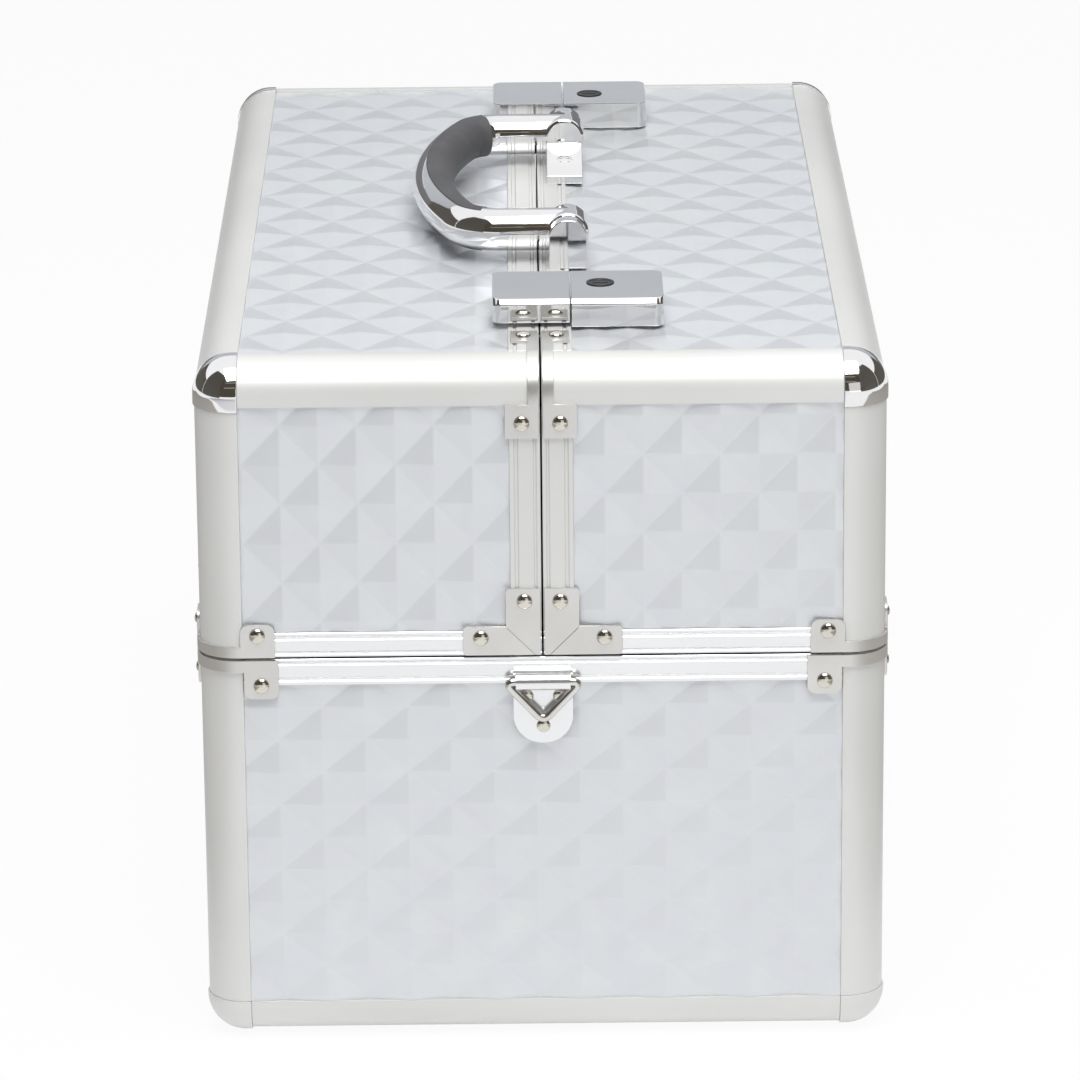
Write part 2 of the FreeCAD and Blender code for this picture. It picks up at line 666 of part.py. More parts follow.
for h in heads:
    lid_heads.extend(both_ends(h))
save("right_lid_brackets", lid_brackets)
save("left_lid_brackets", [mirror_x(s) for s in lid_brackets])
save("right_lid_rivets", lid_heads)
save("left_lid_rivets", [mirror_x(s) for s in lid_heads])
save("right_lid_hinge_leaves", lid_leaves)
save("left_lid_hinge_leaves", [mirror_x(s) for s in lid_leaves])

# Pins that carry the upper trays on the lids
lift = V(HINGE_X + ARM_X, -inner_y, SEAM_Z + ARM_Z)
lift_pins = both_ends(cyl(STUD_R, lift, EY, TRAY_END_GAP + TRAY_WALL - 0.4))
save("right_lid_tray_pins", lift_pins)
save("left_lid_tray_pins", [mirror_x(s) for s in lift_pins])

# Arms: flat links, round at both ends, pivoted on the base and on both trays
span = math.hypot(ARM_X, ARM_Z)


def arm(px):
    d = V(ARM_X / span, 0, ARM_Z / span)
    n = V(-d.z, 0, d.x)
    p0 = V(px, -arm_y0, PIVOT_Z)
    p1 = p0 + d * span
    h = n * (ARM_W / 2.0)
    strip = prism([p0 + h, p1 + h, p1 - h, p0 - h], EY * -ARM_T)
    ends = [cyl(ARM_W / 2.0, p, EY * -1.0, ARM_T) for p in (p0, p1)]
    link = fuse([strip] + ends)
    for f in (0.0, 0.5, 1.0):
        link = link.cut(cyl(STUD_R + FIT, p0 + d * (span * f) + EY, EY * -1.0, ARM_T + 2))
    return both_ends(link)


for name, px in (("arm_a", PIVOT_A), ("arm_b", PIVOT_B)):
    links = arm(px)
    save("right_" + name, links)
    save("left_" + name, [mirror_x(s) for s in links])

# Trays with moulded compartments
tray_y = inner_y - TRAY_END_GAP


def tray(z0, height, cells, half):
    body = box(TRAY_X0, TRAY_X1, -tray_y, tray_y, z0, z0 + height)
    w = TRAY_WALL
    run = (2.0 * tray_y - w * (cells + 1)) / cells
    for i in range(cells):
        y0 = -tray_y + w + i * (run + w)
        mid = (TRAY_X0 + TRAY_X1) / 2.0
        split = half and i % 2 == 1
        spans = [(TRAY_X0 + w, TRAY_X1 - w)]
        if split:
            spans = [(TRAY_X0 + w, mid - w / 2.0), (mid + w / 2.0, TRAY_X1 - w)]
        for x0, x1 in spans:
            body = body.cut(box(x0, x1, y0, y0 + run, z0 + TRAY_FLOOR, z0 + height + 1))
            pocket = (x0, x1, y0, y0 + run, z0 + TRAY_FLOOR, z0 + height)
            print("pocket %.1f %.1f %.1f %.1f %.1f %.1f" % pocket)
    return body


low_tray = tray(LOW_Z0, LOW_H, 3, False)
up_z0 = LOW_Z0 + LOW_H + TRAY_GAP
up_tray = tray(up_z0, UP_H, 4, True)
for sy in (-1, 1):
    hole = cyl(STUD_R + FIT, V(lift.x, sy * (tray_y + 1), lift.z), EY * -sy, TRAY_WALL + 1.0)
    up_tray = up_tray.cut(hole)
save("right_lower_tray", [low_tray])
save("left_lower_tray", [mirror_x(low_tray)])
save("right_upper_tray", [up_tray])
save("left_upper_tray", [mirror_x(up_tray)])
for name, f in (("lower", 0.5), ("upper", 1.0)):
    tray_studs = []
    for px in (PIVOT_A, PIVOT_B):
        p = V(px + ARM_X * f, -tray_y, PIVOT_Z + ARM_Z * f)
        tray_studs.extend(both_ends(cyl(STUD_R, p, EY * -1.0, TRAY_END_GAP - 0.4)))
    save("right_%s_tray_studs" % name, tray_studs)
    save("left_%s_tray_studs" % name, [mirror_x(s) for s in tray_studs])

# Latches: lock bodies on the right lid, hasps on the left lid
lock_x0 = LATCH_SPLIT + LATCH_GAP / 2.0
top_z = HEIGHT + LATCH_H
half_w = LATCH_W / 2.0
ch = 3.0


def latch_block(x0, x1, cy, z0):
    profile = [
        V(x0, cy - half_w, z0), V(x0, cy + half_w, z0), V(x0, cy + half_w, top_z - ch),
        V(x0, cy + half_w - ch, top_z), V(x0, cy - half_w + ch, top_z), V(x0, cy - half_w, top_z - ch),
    ]
    return prism(profile, EX * (x1 - x0))


lock_bodies = []
for sy in (-1, 1):
    cy = sy * LATCH_Y
    body = latch_block(lock_x0, LOCK_X1, cy, HEIGHT)
    foot = box(foot_x0, foot_x1, cy - foot_w, cy + foot_w, HEIGHT - RAIL_T, HEIGHT)
    body = fuse([body, foot])
    body = body.cut(cyl(KEY_R, V(KEY_X, cy, HEIGHT + 3.0), EZ, LATCH_H))
    lock_bodies.append(body)
    core = cyl(KEY_R - FIT, V(KEY_X, cy, HEIGHT + 3.3), EZ, LATCH_H - 3.3 + 0.3)
    slot = box(KEY_X - 2.6, KEY_X + 2.6, cy - 0.5, cy + 0.5, top_z - 3.0, top_z + 2)
    core = core.cut(slot)
    name = "front" if sy < 0 else "back"
    save("lock_cylinder_" + name, [core])
save("right_lid_lock_bodies", lock_bodies)
hasp_axis_x = HASP_X0 + 2.6
hasp_axis_z = HEIGHT + 3.8
hasp_z0 = HEIGHT + PLATE_T + LATCH_GAP
hasp_x1 = LATCH_SPLIT - LATCH_GAP / 2.0
hasp_plates = []
skin = 1.2
for sy in (-1, 1):
    cy = sy * LATCH_Y
    base_plate = box(HASP_X0 + 0.3, -SEAM_X - 0.3, cy - 11.0, cy + 11.0, HEIGHT, HEIGHT + PLATE_T)
    parts = [base_plate]
    for y0 in (cy - 9.0, cy + 5.0):
        parts.append(cyl(1.7, V(hasp_axis_x, y0, hasp_axis_z), EY, 4.0))
        parts.append(box(hasp_axis_x - 1.2, hasp_axis_x + 1.2, y0, y0 + 4.0, HEIGHT, hasp_axis_z))
    parts.append(cyl(0.9, V(hasp_axis_x, cy - 5.0, hasp_axis_z), EY, 10.0))
    hasp_plates.append(fuse(parts))
    cover = latch_block(HASP_X0, hasp_x1, cy, hasp_z0)
    hollow = box(
        HASP_X0 + skin - 0.3, hasp_x1 - skin, cy - half_w + skin + 2.0, cy + half_w - skin - 2.0,
        hasp_z0 - 1, top_z - skin)
    cover = cover.cut(hollow)
    cover = cover.cut(box(
        HASP_X0 - 1.0, hasp_axis_x, cy - half_w + skin + 2.0, cy + half_w - skin - 2.0,
        hasp_z0 - 1, hasp_axis_z + 1.6))
    knuckle_y = 3.6
    boss = cyl(1.8, V(hasp_axis_x, cy - knuckle_y, hasp_axis_z), EY, 2.0 * knuckle_y)
    stem = box(hasp_axis_x - 1.2, hasp_axis_x + 1.2, cy - knuckle_y, cy + knuckle_y, hasp_axis_z, top_z - skin + 0.2)
    cover = fuse([cover, boss, stem])
    cover = cover.cut(cyl(0.9 + FIT, V(hasp_axis_x, cy - 6, hasp_axis_z), EY, 12.0))
    name = "front" if sy < 0 else "back"
    save("hasp_" + name, [cover])
save("left_lid_hasp_plates", hasp_plates)

# Handle brackets on the right lid, one stub pin each
pz = HEIGHT + HANDLE_PIVOT_H
arm_in = HANDLE_HALF - TUBE_R
arm_out = HANDLE_HALF + TUBE_R
lug0 = arm_out + 0.4
lug1 = lug0 + LUG_T
bx0 = HANDLE_PIVOT_X - 6.2
bx1 = HANDLE_PIVOT_X + 6.2
floor_t = HANDLE_PIVOT_H - TUBE_R - 0.6
wedge = [
    V(bx0, -lug1, HEIGHT), V(bx0, -BRACKET_IN, HEIGHT), V(bx0, -BRACKET_IN, HEIGHT + 1.2),
    V(bx0, -arm_in + 0.6, HEIGHT + 9.0), V(bx0, -arm_in + 0.6, HEIGHT + floor_t),
    V(bx0, -lug1, HEIGHT + floor_t),
]
bracket = prism(wedge, EX * (bx1 - bx0))
lug = box(bx0, bx1, -lug1, -lug0, HEIGHT, pz)
lug_top = cyl((bx1 - bx0) / 2.0, V(HANDLE_PIVOT_X, -lug1, pz), EY, LUG_T)
stub = cyl(HANDLE_PIN_R, V(HANDLE_PIVOT_X, -lug0 - 0.1, pz), EY, 2.0 * TUBE_R - 2.0)
bracket = fuse([bracket, lug, lug_top, stub])
save("handle_brackets", both_ends(bracket))

# Handle bow swept along its path, with the grip pad let into the inner half of the bend
reach = HANDLE_REACH - TUBE_R + HANDLE_BEND_X
side_y = HANDLE_HALF - BEND_R
big_r = (reach * reach + side_y * side_y - BEND_R * BEND_R) / (2.0 * (reach - BEND_R))
big_x = HANDLE_BEND_X - reach + big_r
turn = math.atan2(side_y, big_x - HANDLE_BEND_X)


def bow_edges(inset, z):
    r1 = BEND_R - inset
    r2 = big_r - inset
    edges = []
    for sy in (-1, 1):
        centre = V(HANDLE_BEND_X, sy * side_y, z)
        start = centre + V(0, sy * r1, 0)
        half = (math.pi / 2.0 - turn) / 2.0 + turn
        mid = centre + V(-r1 * math.cos(half), sy * r1 * math.sin(half), 0)
        end = centre + V(-r1 * math.cos(turn), sy * r1 * math.sin(turn), 0)
        edges.append((Part.Arc(start, mid, end).toShape(), start, end))
    tip = V(big_x - r2, 0, z)
    middle = Part.Arc(edges[0][2], tip, edges[1][2]).toShape()
    return edges[0][0], middle, edges[1][0], edges[0][1], edges[1][1]


arc_a, arc_m, arc_b, p1, p2 = bow_edges(0.0, pz)
p0 = V(HANDLE_PIVOT_X, -HANDLE_HALF, pz)
p3 = V(HANDLE_PIVOT_X, HANDLE_HALF, pz)
path = Part.Wire([Part.makeLine(p0, p1), arc_a, arc_m, arc_b, Part.makeLine(p2, p3)])
section = Part.Wire([Part.makeCircle(TUBE_R, p0, EX)])
tube = path.makePipeShell([section], True, False)
tube = Part.makeSolid(tube) if tube.ShapeType != "Solid" else tube
knobs = []
for y0 in (-arm_out, arm_in):
    knobs.append(cyl(TUBE_R, V(HANDLE_PIVOT_X, y0, pz), EY, 2.0 * TUBE_R))
bow = tube.fuse(knobs[0]).fuse(knobs[1])
for sy in (-1, 1):
    start = V(HANDLE_PIVOT_X, sy * (arm_out + 1), pz)
    bow = bow.cut(cyl(HANDLE_PIN_R + FIT, start, EY * -sy, 2.0 * TUBE_R))
z_low = pz - TUBE_R - 2.0
in_a, in_m, in_b, q1, q2 = bow_edges(GRIP_INSET, z_low)
pocket = Part.Face(Part.Wire([in_a, in_m, in_b, Part.makeLine(q2, q1)])).extrude(EZ * (2.0 * TUBE_R + 4.0))
pocket = pocket.common(box(-WIDTH, HANDLE_BEND_X, -GRIP_HALF, GRIP_HALF, 0, 2.0 * HEIGHT))
grip = tube.common(pocket)
bow = bow.cut(pocket)
save("handle_bow", [bow])
save("handle_grip", [grip])
print("hinge axis X %.2f Z %.2f" % (HINGE_X, SEAM_Z))
print("arm pivots A %.2f B %.2f Z %.2f, step %.2f %.2f" % (PIVOT_A, PIVOT_B, PIVOT_Z, ARM_X, ARM_Z))
print("handle pivot X %.2f Z %.2f" % (HANDLE_PIVOT_X, pz))
print("hasp axis X %.2f Z %.2f" % (hasp_axis_x, hasp_axis_z))
print("ring axis Y %.2f Z %.2f" % (ring_y, RING_Z))
print("nodes %d" % len(os.listdir("parts")))
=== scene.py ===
"""Makeup train case with twin lids: the looks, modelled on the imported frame."""

import logging
import math
from contextlib import contextmanager
from dataclasses import dataclass, field
from enum import Enum
from typing import Callable, Iterator, Optional, Sequence

import bmesh
import bpy
from mathutils import Matrix, Vector


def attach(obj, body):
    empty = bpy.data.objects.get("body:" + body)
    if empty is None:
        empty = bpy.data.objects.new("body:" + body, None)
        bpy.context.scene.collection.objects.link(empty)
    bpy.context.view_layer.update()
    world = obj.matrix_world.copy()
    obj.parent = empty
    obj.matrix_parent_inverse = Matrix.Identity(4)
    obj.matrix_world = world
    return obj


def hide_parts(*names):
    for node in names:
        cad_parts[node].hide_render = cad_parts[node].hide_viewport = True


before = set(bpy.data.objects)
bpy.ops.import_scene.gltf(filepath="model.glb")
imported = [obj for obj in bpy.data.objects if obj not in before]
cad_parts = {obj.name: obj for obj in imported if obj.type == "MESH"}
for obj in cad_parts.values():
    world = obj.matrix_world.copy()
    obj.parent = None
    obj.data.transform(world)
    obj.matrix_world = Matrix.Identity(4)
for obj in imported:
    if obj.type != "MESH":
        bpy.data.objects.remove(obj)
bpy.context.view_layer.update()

LOG = logging.getLogger("train_case")
MM = 0.001
EPS = 1e-5  # places closer than this count as the same
CUT = EPS / 10.0  # how near a point has to be to lie on a cutting plane
WELD = 1e-6  # points closer than this are merged
Pair = tuple[float, float]
Triple = tuple[float, float, float]
Part = bpy.types.Object
Socket = bpy.types.NodeSocket
Test = Callable[[Vector, Vector], bool]
EX, EY, EZ = (1.0, 0.0, 0.0), (0.0, 1.0, 0.0), (0.0, 0.0, 1.0)
OUT = (0.0, -1.0, 0.0)
ALIGNED = 0.9  # a direction counts as along another above this cosine
SMALL_ROUND, LARGE_ROUND = 24, 40  # flat sides of pins and of knobs
SMOOTH = math.radians(35.0)  # faces that meet flatter than this are shaded as one


def mm(*values: float) -> tuple[float, ...]:
    """Turn millimetres into metres."""
    return tuple(v * MM for v in values)


class Axis(Enum):
    """The three directions of the case."""

    X = 0
    Y = 1
    Z = 2


class Element(Enum):
    """What an edit-mode pick looks at."""

    VERT = "VERT"
    EDGE = "EDGE"
    FACE = "FACE"


@dataclass(frozen=True)
class CaseSizes:
    """Shared sizes of the case, in metres."""

    half_w: float = 108.0 * MM
    half_l: float = 187.0 * MM
    height: float = 224.0 * MM
    base_top: float = 128.0 * MM
    lid_bottom: float = 128.6 * MM
    seam: float = 0.3 * MM
    rail_r: float = 12.0 * MM
    rail_leg: float = 13.8 * MM
    foot_leg: float = 12.4 * MM
    ball_leg: float = 15.2 * MM
    rail_block: float = 8.0 * MM
    rail_t: float = 1.5 * MM
    wall: float = 8.5 * MM
    lid_rim: float = 8.0 * MM
    base_rim: float = 8.7 * MM
    seam_rail: float = 9.7 * MM
    proud: float = 0.5 * MM


SIZES = CaseSizes()


class Bench:
    """Hand tools: thin wrappers over the modelling operators."""

    @staticmethod
    def deselect() -> None:
        """Leave object mode clean, with nothing selected."""
        if bpy.context.object and bpy.context.object.mode != "OBJECT":
            bpy.ops.object.mode_set(mode="OBJECT")
        bpy.ops.object.select_all(action="DESELECT")

    @staticmethod
    def hold(obj: Part) -> None:
        """Select one object alone and make it active.

        Args:
            obj: the object.
        """
        Bench.deselect()
        obj.select_set(True)
        bpy.context.view_layer.objects.active = obj

    @staticmethod
    def settle(obj: Part) -> Part:
        """Put an object's place, turn and scale into its mesh.

        Args:
            obj: the object.

        Returns:
            The same object.
        """
        Bench.hold(obj)
        bpy.ops.object.transform_apply(location=True, rotation=True, scale=True)
        return obj

    @staticmethod
    def block(low: Sequence[float], high: Sequence[float]) -> Part:
        """Add a block between two corners.

        Args:
            low: one corner, in metres.
            high: the opposite corner.

        Returns:
            The block, with its place in its mesh.
        """
        Bench.deselect()
        a, b = Vector(low), Vector(high)
        bpy.ops.mesh.primitive_cube_add(size=1.0, location=(a + b) / 2.0)
        obj = bpy.context.object
        obj.scale = [abs(v) for v in b - a]
        return Bench.settle(obj)

    @staticmethod
    def rod(radius: float, start: Sequence[float], end: Sequence[float], sides: int = 32) -> Part:
        """Add a round bar between two points.

        Args:
            radius: radius of the bar.
            start: centre of one end.
            end: centre of the other end.
            sides: number of flat sides round the bar.

        Returns:
            The bar, with its place in its mesh.
        """
        Bench.deselect()
        a, b = Vector(start), Vector(end)
        bpy.ops.mesh.primitive_cylinder_add(
            vertices=sides, radius=radius, depth=(b - a).length, location=(a + b) / 2.0,
            rotation=(b - a).to_track_quat("Z", "Y").to_euler())
        return Bench.settle(bpy.context.object)

    @staticmethod
    @contextmanager
    def edit(obj: Part) -> Iterator[None]:
        """Work on one mesh in edit mode, starting with nothing selected.

        Args:
            obj: the object to edit.

        Returns:
            The context of the work.
        """
        Bench.hold(obj)
        bpy.ops.object.mode_set(mode="EDIT")
        bpy.ops.mesh.select_all(action="DESELECT")
        yield
        bpy.ops.object.mode_set(mode="OBJECT")

    @staticmethod
    def pick(obj: Part, what: Element, test: Test) -> None:
        """Select elements of the mesh being edited by their place or direction.

        Args:
            obj: the object in edit mode.
            what: kind of element.
            test: takes the centre and the normal (of an edge, its direction) and says whether to take it.
        """
        bpy.ops.mesh.select_all(action="DESELECT")
        bpy.ops.mesh.select_mode(type=what.value)
        mesh = bmesh.from_edit_mesh(obj.data)
        if what is Element.VERT:
            sights = [(v, v.co, v.normal) for v in mesh.verts]
        elif what is Element.EDGE:
            ends = [(e, e.verts[0].co, e.verts[1].co) for e in mesh.edges]
            sights = [(e, (a + b) / 2.0, (b - a).normalized()) for e, a, b in ends]
        else:
            sights = [(f, f.calc_center_median(), f.normal) for f in mesh.faces]
        for item, centre, way in sights:
            if test(centre, way):
                item.select_set(True)
        mesh.select_flush_mode()
        bmesh.update_edit_mesh(obj.data)

    @staticmethod
    def every() -> None:
        """Select the whole mesh being edited."""
        bpy.ops.mesh.select_all(action="SELECT")

    @staticmethod
    def push(step: Sequence[float]) -> None:
        """Extrude what is selected by a step."""
        bpy.ops.mesh.extrude_region_move(TRANSFORM_OT_translate={"value": tuple(step)})

    @staticmethod
    def pull(obj: Part, what: Element, test: Test, step: Sequence[float]) -> None:
        """Pick elements of the mesh being edited and extrude them by a step."""
        Bench.pick(obj, what, test)
        Bench.push(step)

    @staticmethod
    def round_over(obj: Part, test: Test, radius: float, steps: int) -> None:
        """Pick edges of the mesh being edited and round them."""
        Bench.pick(obj, Element.EDGE, test)
        bpy.ops.mesh.bevel(offset=radius, segments=steps, profile=0.5, affect="EDGES", clamp_overlap=False)

    @staticmethod
    def score(point: Sequence[float], normal: Sequence[float], clear_out: bool = False) -> None:
        """Cut the whole mesh by a plane, and drop what lies beyond it if asked."""
        Bench.every()
        bpy.ops.mesh.bisect(plane_co=tuple(point), plane_no=tuple(normal), clear_outer=clear_out,
                            use_fill=clear_out, threshold=CUT)

    @staticmethod
    def clip(point: Sequence[float], normal: Sequence[float]) -> None:
        """Trim an open sheet at a plane and leave the cut open."""
        Bench.every()
        bpy.ops.mesh.bisect(plane_co=point, plane_no=normal, clear_outer=True)

    @staticmethod
    def modify(obj: Part, kind: str, **values: object) -> None:
        """Add a modifier, set it and apply it.

        Args:
            obj: the piece.
            kind: the modifier's type.
            values: its settings.
        """
        Bench.hold(obj)
        mod = obj.modifiers.new("step", kind)
        for key, value in values.items():
            setattr(mod, key, value)
        bpy.ops.object.modifier_apply(modifier=mod.name)

    @staticmethod
    def boolean(obj: Part, tool: Part, operation: str = "DIFFERENCE") -> None:
        """Apply one boolean with a tool that is used up."""
        Bench.modify(obj, "BOOLEAN", operation=operation, solver="EXACT", object=tool)
        bpy.data.objects.remove(tool, do_unlink=True)

    @staticmethod
    def soften(obj: Part, width: float = 0.0, segments: int = 2, angle: float = 40.0) -> Part:
        """Break the sharp edges and shade the rest smooth.

        Args:
            obj: the piece.
            width: bevel width in metres; 0 leaves the edges alone.
            segments: bevel segments.
            angle: edges sharper than this, in degrees, are bevelled.

        Returns:
            The same piece.
        """
        if width > 0.0:
            Bench.modify(obj, "BEVEL", width=width, segments=segments, limit_method="ANGLE",
                         angle_limit=math.radians(angle), use_clamp_overlap=True)
        Bench.hold(obj)
        bpy.ops.object.shade_smooth_by_angle(angle=SMOOTH)
        return obj

    @staticmethod
    def thicken(obj: Part, depth: float) -> None:
        """Give a sheet its thickness, outward along its normals."""
        Bench.modify(obj, "SOLIDIFY", thickness=depth, offset=1.0, use_even_offset=True)

    @staticmethod
    def outward(obj: Part) -> None:
        """Merge doubles and turn all normals outward.

        Args:
            obj: the piece.
        """
        with Bench.edit(obj):
            Bench.every()
            bpy.ops.mesh.remove_doubles(threshold=WELD)
            bpy.ops.mesh.normals_make_consistent(inside=False)

    @staticmethod
    def turn_to(way: Vector) -> Matrix:
        """Return the turn that takes the upward direction to another."""
        return way.to_track_quat("Z", "Y").to_matrix().to_4x4()

    @staticmethod
    def mirrored(parts: Sequence[Part], *axes: Axis) -> list[Part]:
        """Add mirror images of pieces across the planes through the origin.

        Args:
            parts: the pieces.
            axes: one mirror for each axis, applied one after the other.

        Returns:
            The pieces and all their images.
        """
        out = list(parts)
        for axis in axes:
            flip = Matrix.Diagonal(tuple(-1.0 if k == axis.value else 1.0 for k in range(4)))
            for part in tuple(out):
                twin = part.copy()
                twin.data = part.data.copy()
                bpy.context.scene.collection.objects.link(twin)
                twin.data.transform(flip)
                twin.data.flip_normals()
                out.append(twin)
        return out


class Nodes:
    """Small helper that lays out one material's node tree."""

    def __init__(self, name: str) -> None:
        """Start a fresh material with a Principled shader.

        Args:
            name: name of the material.
        """
        self.material = bpy.data.materials.new(name)
        self.material.use_nodes = True
        self.tree = self.material.node_tree
        self.shader = self.tree.nodes["Principled BSDF"]
        self.place = self.tree.nodes.new("ShaderNodeTexCoord").outputs["Object"]

    def step(self, kind: str, source: Socket, entry: str, **values: float) -> bpy.types.Node:
        """Add a node that takes one value and has constants on other inputs.

        Args:
            kind: the node's type.
            source: the socket that feeds it.
            entry: the input that is fed.
            values: constants by input name, with an underscore for a blank.

        Returns:
            The new node.
        """
        made = self.tree.nodes.new(kind)
        self.tree.links.new(source, made.inputs[entry])
        for key, value in values.items():
            made.inputs[key.replace("_", " ")].default_value = value
        return made

    def noise(self, scale: float, detail: float) -> Socket:
        """Add a noise field on the piece's own coordinates, in cycles per metre."""
        return self.step("ShaderNodeTexNoise", self.place, "Vector", Scale=scale, Detail=detail).outputs["Fac"]


@dataclass(frozen=True)
class Finish:
    """A surface finish with mottled colour, mottled roughness and a fine grain."""

    name: str
    dark: Triple
    light: Triple
    metallic: float
    rough_low: float
    rough_high: float
    mottle: float
    grain: float
    grain_height: float = 0.02 * MM
    grain_strength: float = 0.2
    sheen: float = 0.0
    stops: Pair = (0.3, 0.7)
    octaves: Pair = (4.0, 2.0)

    def make(self) -> bpy.types.Material:
        """Build the finish's material.

        Returns:
            The new material.
        """
        n = Nodes(self.name)
        grain = n.noise(self.grain, self.octaves[1])
        ramp = n.step("ShaderNodeValToRGB", n.noise(self.mottle, self.octaves[0]), "Fac")
        for stop, place, tone in zip(ramp.color_ramp.elements, self.stops, (self.dark, self.light)):
            stop.position = place
            stop.color = (*tone, 1.0)
        rough = n.step("ShaderNodeMapRange", grain, "Value", To_Min=self.rough_low, To_Max=self.rough_high)
        bump = n.step("ShaderNodeBump", grain, "Height", Distance=self.grain_height, Strength=self.grain_strength)
        for source, entry in ((ramp.outputs["Color"], "Base Color"), (rough.outputs["Result"], "Roughness"),
                              (bump.outputs["Normal"], "Normal")):
            n.tree.links.new(source, n.shader.inputs[entry])
        n.shader.inputs["Metallic"].default_value = self.metallic
        n.shader.inputs["Sheen Weight"].default_value = self.sheen
        return n.material


PEARL = Finish("pearl_skin", (0.755, 0.765, 0.81), (0.775, 0.81, 0.82), 0.38, 0.30, 0.36, 70.0, 1400.0,
               0.008 * MM, 0.08)
ALUMINIUM = Finish("satin_aluminium", (0.76, 0.76, 0.745), (0.82, 0.82, 0.805), 0.25, 0.36, 0.46, 12.0, 1100.0,
                   0.006 * MM, 0.10)
RIM_METAL = Finish("bright_aluminium", (0.86, 0.87, 0.88), (0.91, 0.92, 0.93), 0.9, 0.18, 0.26, 12.0, 1100.0,
                   0.006 * MM, 0.10)
PLATE = Finish("satin_nickel", (0.72, 0.715, 0.695), (0.79, 0.785, 0.765), 0.9, 0.31, 0.40, 60.0, 1600.0,
               0.006 * MM, 0.12)
NICKEL = Finish("bright_nickel", (0.68, 0.67, 0.645), (0.76, 0.75, 0.725), 1.0, 0.16, 0.26, 60.0, 1600.0,
                0.006 * MM, 0.12)
# Polished nickel rivet heads; their warm brown tint is partly a painted reflection of the dark brown room, laid into
# the base colour.
RIVET_WITH_PAINTED_REFLECTION = Finish("polished_rivet_painted_reflection", (0.66, 0.63, 0.56), (0.74, 0.71, 0.64), 1.0, 0.08, 0.16, 90.0, 900.0,
               0.004 * MM, 0.08)
CHROME = Finish("mirror_chrome", (0.83, 0.83, 0.84), (0.88, 0.88, 0.89), 1.0, 0.035, 0.075, 40.0, 260.0,
                0.002 * MM, 0.04)
GRIP = Finish("grip_rubber", (0.07, 0.07, 0.075), (0.095, 0.095, 0.1), 0.0, 0.48, 0.66, 90.0, 2600.0,
              0.05 * MM, 0.35)
LOCK_BLACK = Finish("lock_black", (0.02, 0.02, 0.022), (0.04, 0.04, 0.043), 0.4, 0.30, 0.45, 200.0, 2000.0)
FLOCK = Finish("flock_lining", (0.018, 0.018, 0.02), (0.032, 0.032, 0.035), 0.0, 0.85, 0.98, 45.0, 3200.0,
               0.18 * MM, 0.6, sheen=0.35)
TRAY_BLACK = Finish("tray_plastic", (0.030, 0.030, 0.033), (0.042, 0.042, 0.045), 0.0, 0.38, 0.52, 30.0, 2400.0,
                    0.05 * MM, 0.3)
BOARD = Finish("bottom_sheet", (0.06, 0.06, 0.065), (0.085, 0.085, 0.09), 0.0, 0.55, 0.7, 40.0, 1300.0,
               0.12 * MM, 0.5)


class Shop:
    """Hands out each finish's material once, and signs pieces off."""

    def __init__(self) -> None:
        """Start with no material made."""
        self._made: dict[str, bpy.types.Material] = {}

    def material(self, finish: Finish) -> bpy.types.Material:
        """Find a finish's material, made on first use.

        Args:
            finish: the finish.

        Returns:
            Its material.
        """
        if finish.name not in self._made:
            self._made[finish.name] = finish.make()
        return self._made[finish.name]

    def sign_off(self, parts: Sequence[Part], name: str, body: str, finish: Finish, node: str) -> None:
        """Join parts into one dressed piece that rides on a body and stands for a CAD node.

        Args:
            parts: what the piece is joined from.
            name: name of the piece.
            body: body it rides on.
            finish: its finish.
            node: CAD node that it replaces.
        """
        obj = parts[0]
        Bench.hold(obj)
        if len(parts) > 1:
            for part in parts:
                part.select_set(True)
            bpy.ops.object.join()
        obj.name = name
        obj.data.name = name
        if finish is not PEARL:
            Bench.modify(obj, "WEIGHTED_NORMAL", weight=100, keep_sharp=True)
        obj.data.materials.clear()
        obj.data.materials.append(self.material(finish))
        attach(obj, body)
        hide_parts(node)
        LOG.info("%s on %s, %d faces", obj.name, body, len(obj.data.polygons))

    def both_lids(self, parts: Sequence[Part], kind: str, tail: str, finish: Finish) -> None:
        """Sign off the right lid's parts and their images on the left lid.

        Args:
            parts: the right lid's parts.
            kind: name of the node after the lid's.
            tail: what the piece's name adds to the node's.
            finish: their finish.
        """
        twins = Bench.mirrored(parts, Axis.X)[len(parts):]
        for body, group in (("right_lid", parts), ("left_lid", twins)):
            node = body + "_" + kind
            self.sign_off(group, node + tail, body, finish, node)

    def both_ends(self, front: Part, name: str, body: str, finish: Finish, node: str) -> None:
        """Sign off a front piece and its image at the back.

        Args:
            front: the piece at the front end.
            name: name of the pieces before the end's.
            body: name of the bodies before the end's.
            finish: their finish.
            node: name of the CAD nodes before the end's.
        """
        for obj, end in zip(Bench.mirrored([front], Axis.Y), ("front", "back")):
            self.sign_off([obj], name + end, body + end, finish, node + end)

    def dress_node(self, node: str, finish: Finish) -> None:
        """Give a CAD node that stays its finish.

        Args:
            node: name of the node.
            finish: its finish.
        """
        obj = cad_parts[node]
        obj = bpy.data.objects[obj] if isinstance(obj, str) else obj
        if not obj.data.materials:
            obj.data.materials.append(self.material(finish))
        for index in range(len(obj.data.materials)):
            obj.data.materials[index] = self.material(finish)
        LOG.info("%s keeps its solid", node)


SHOP = Shop()


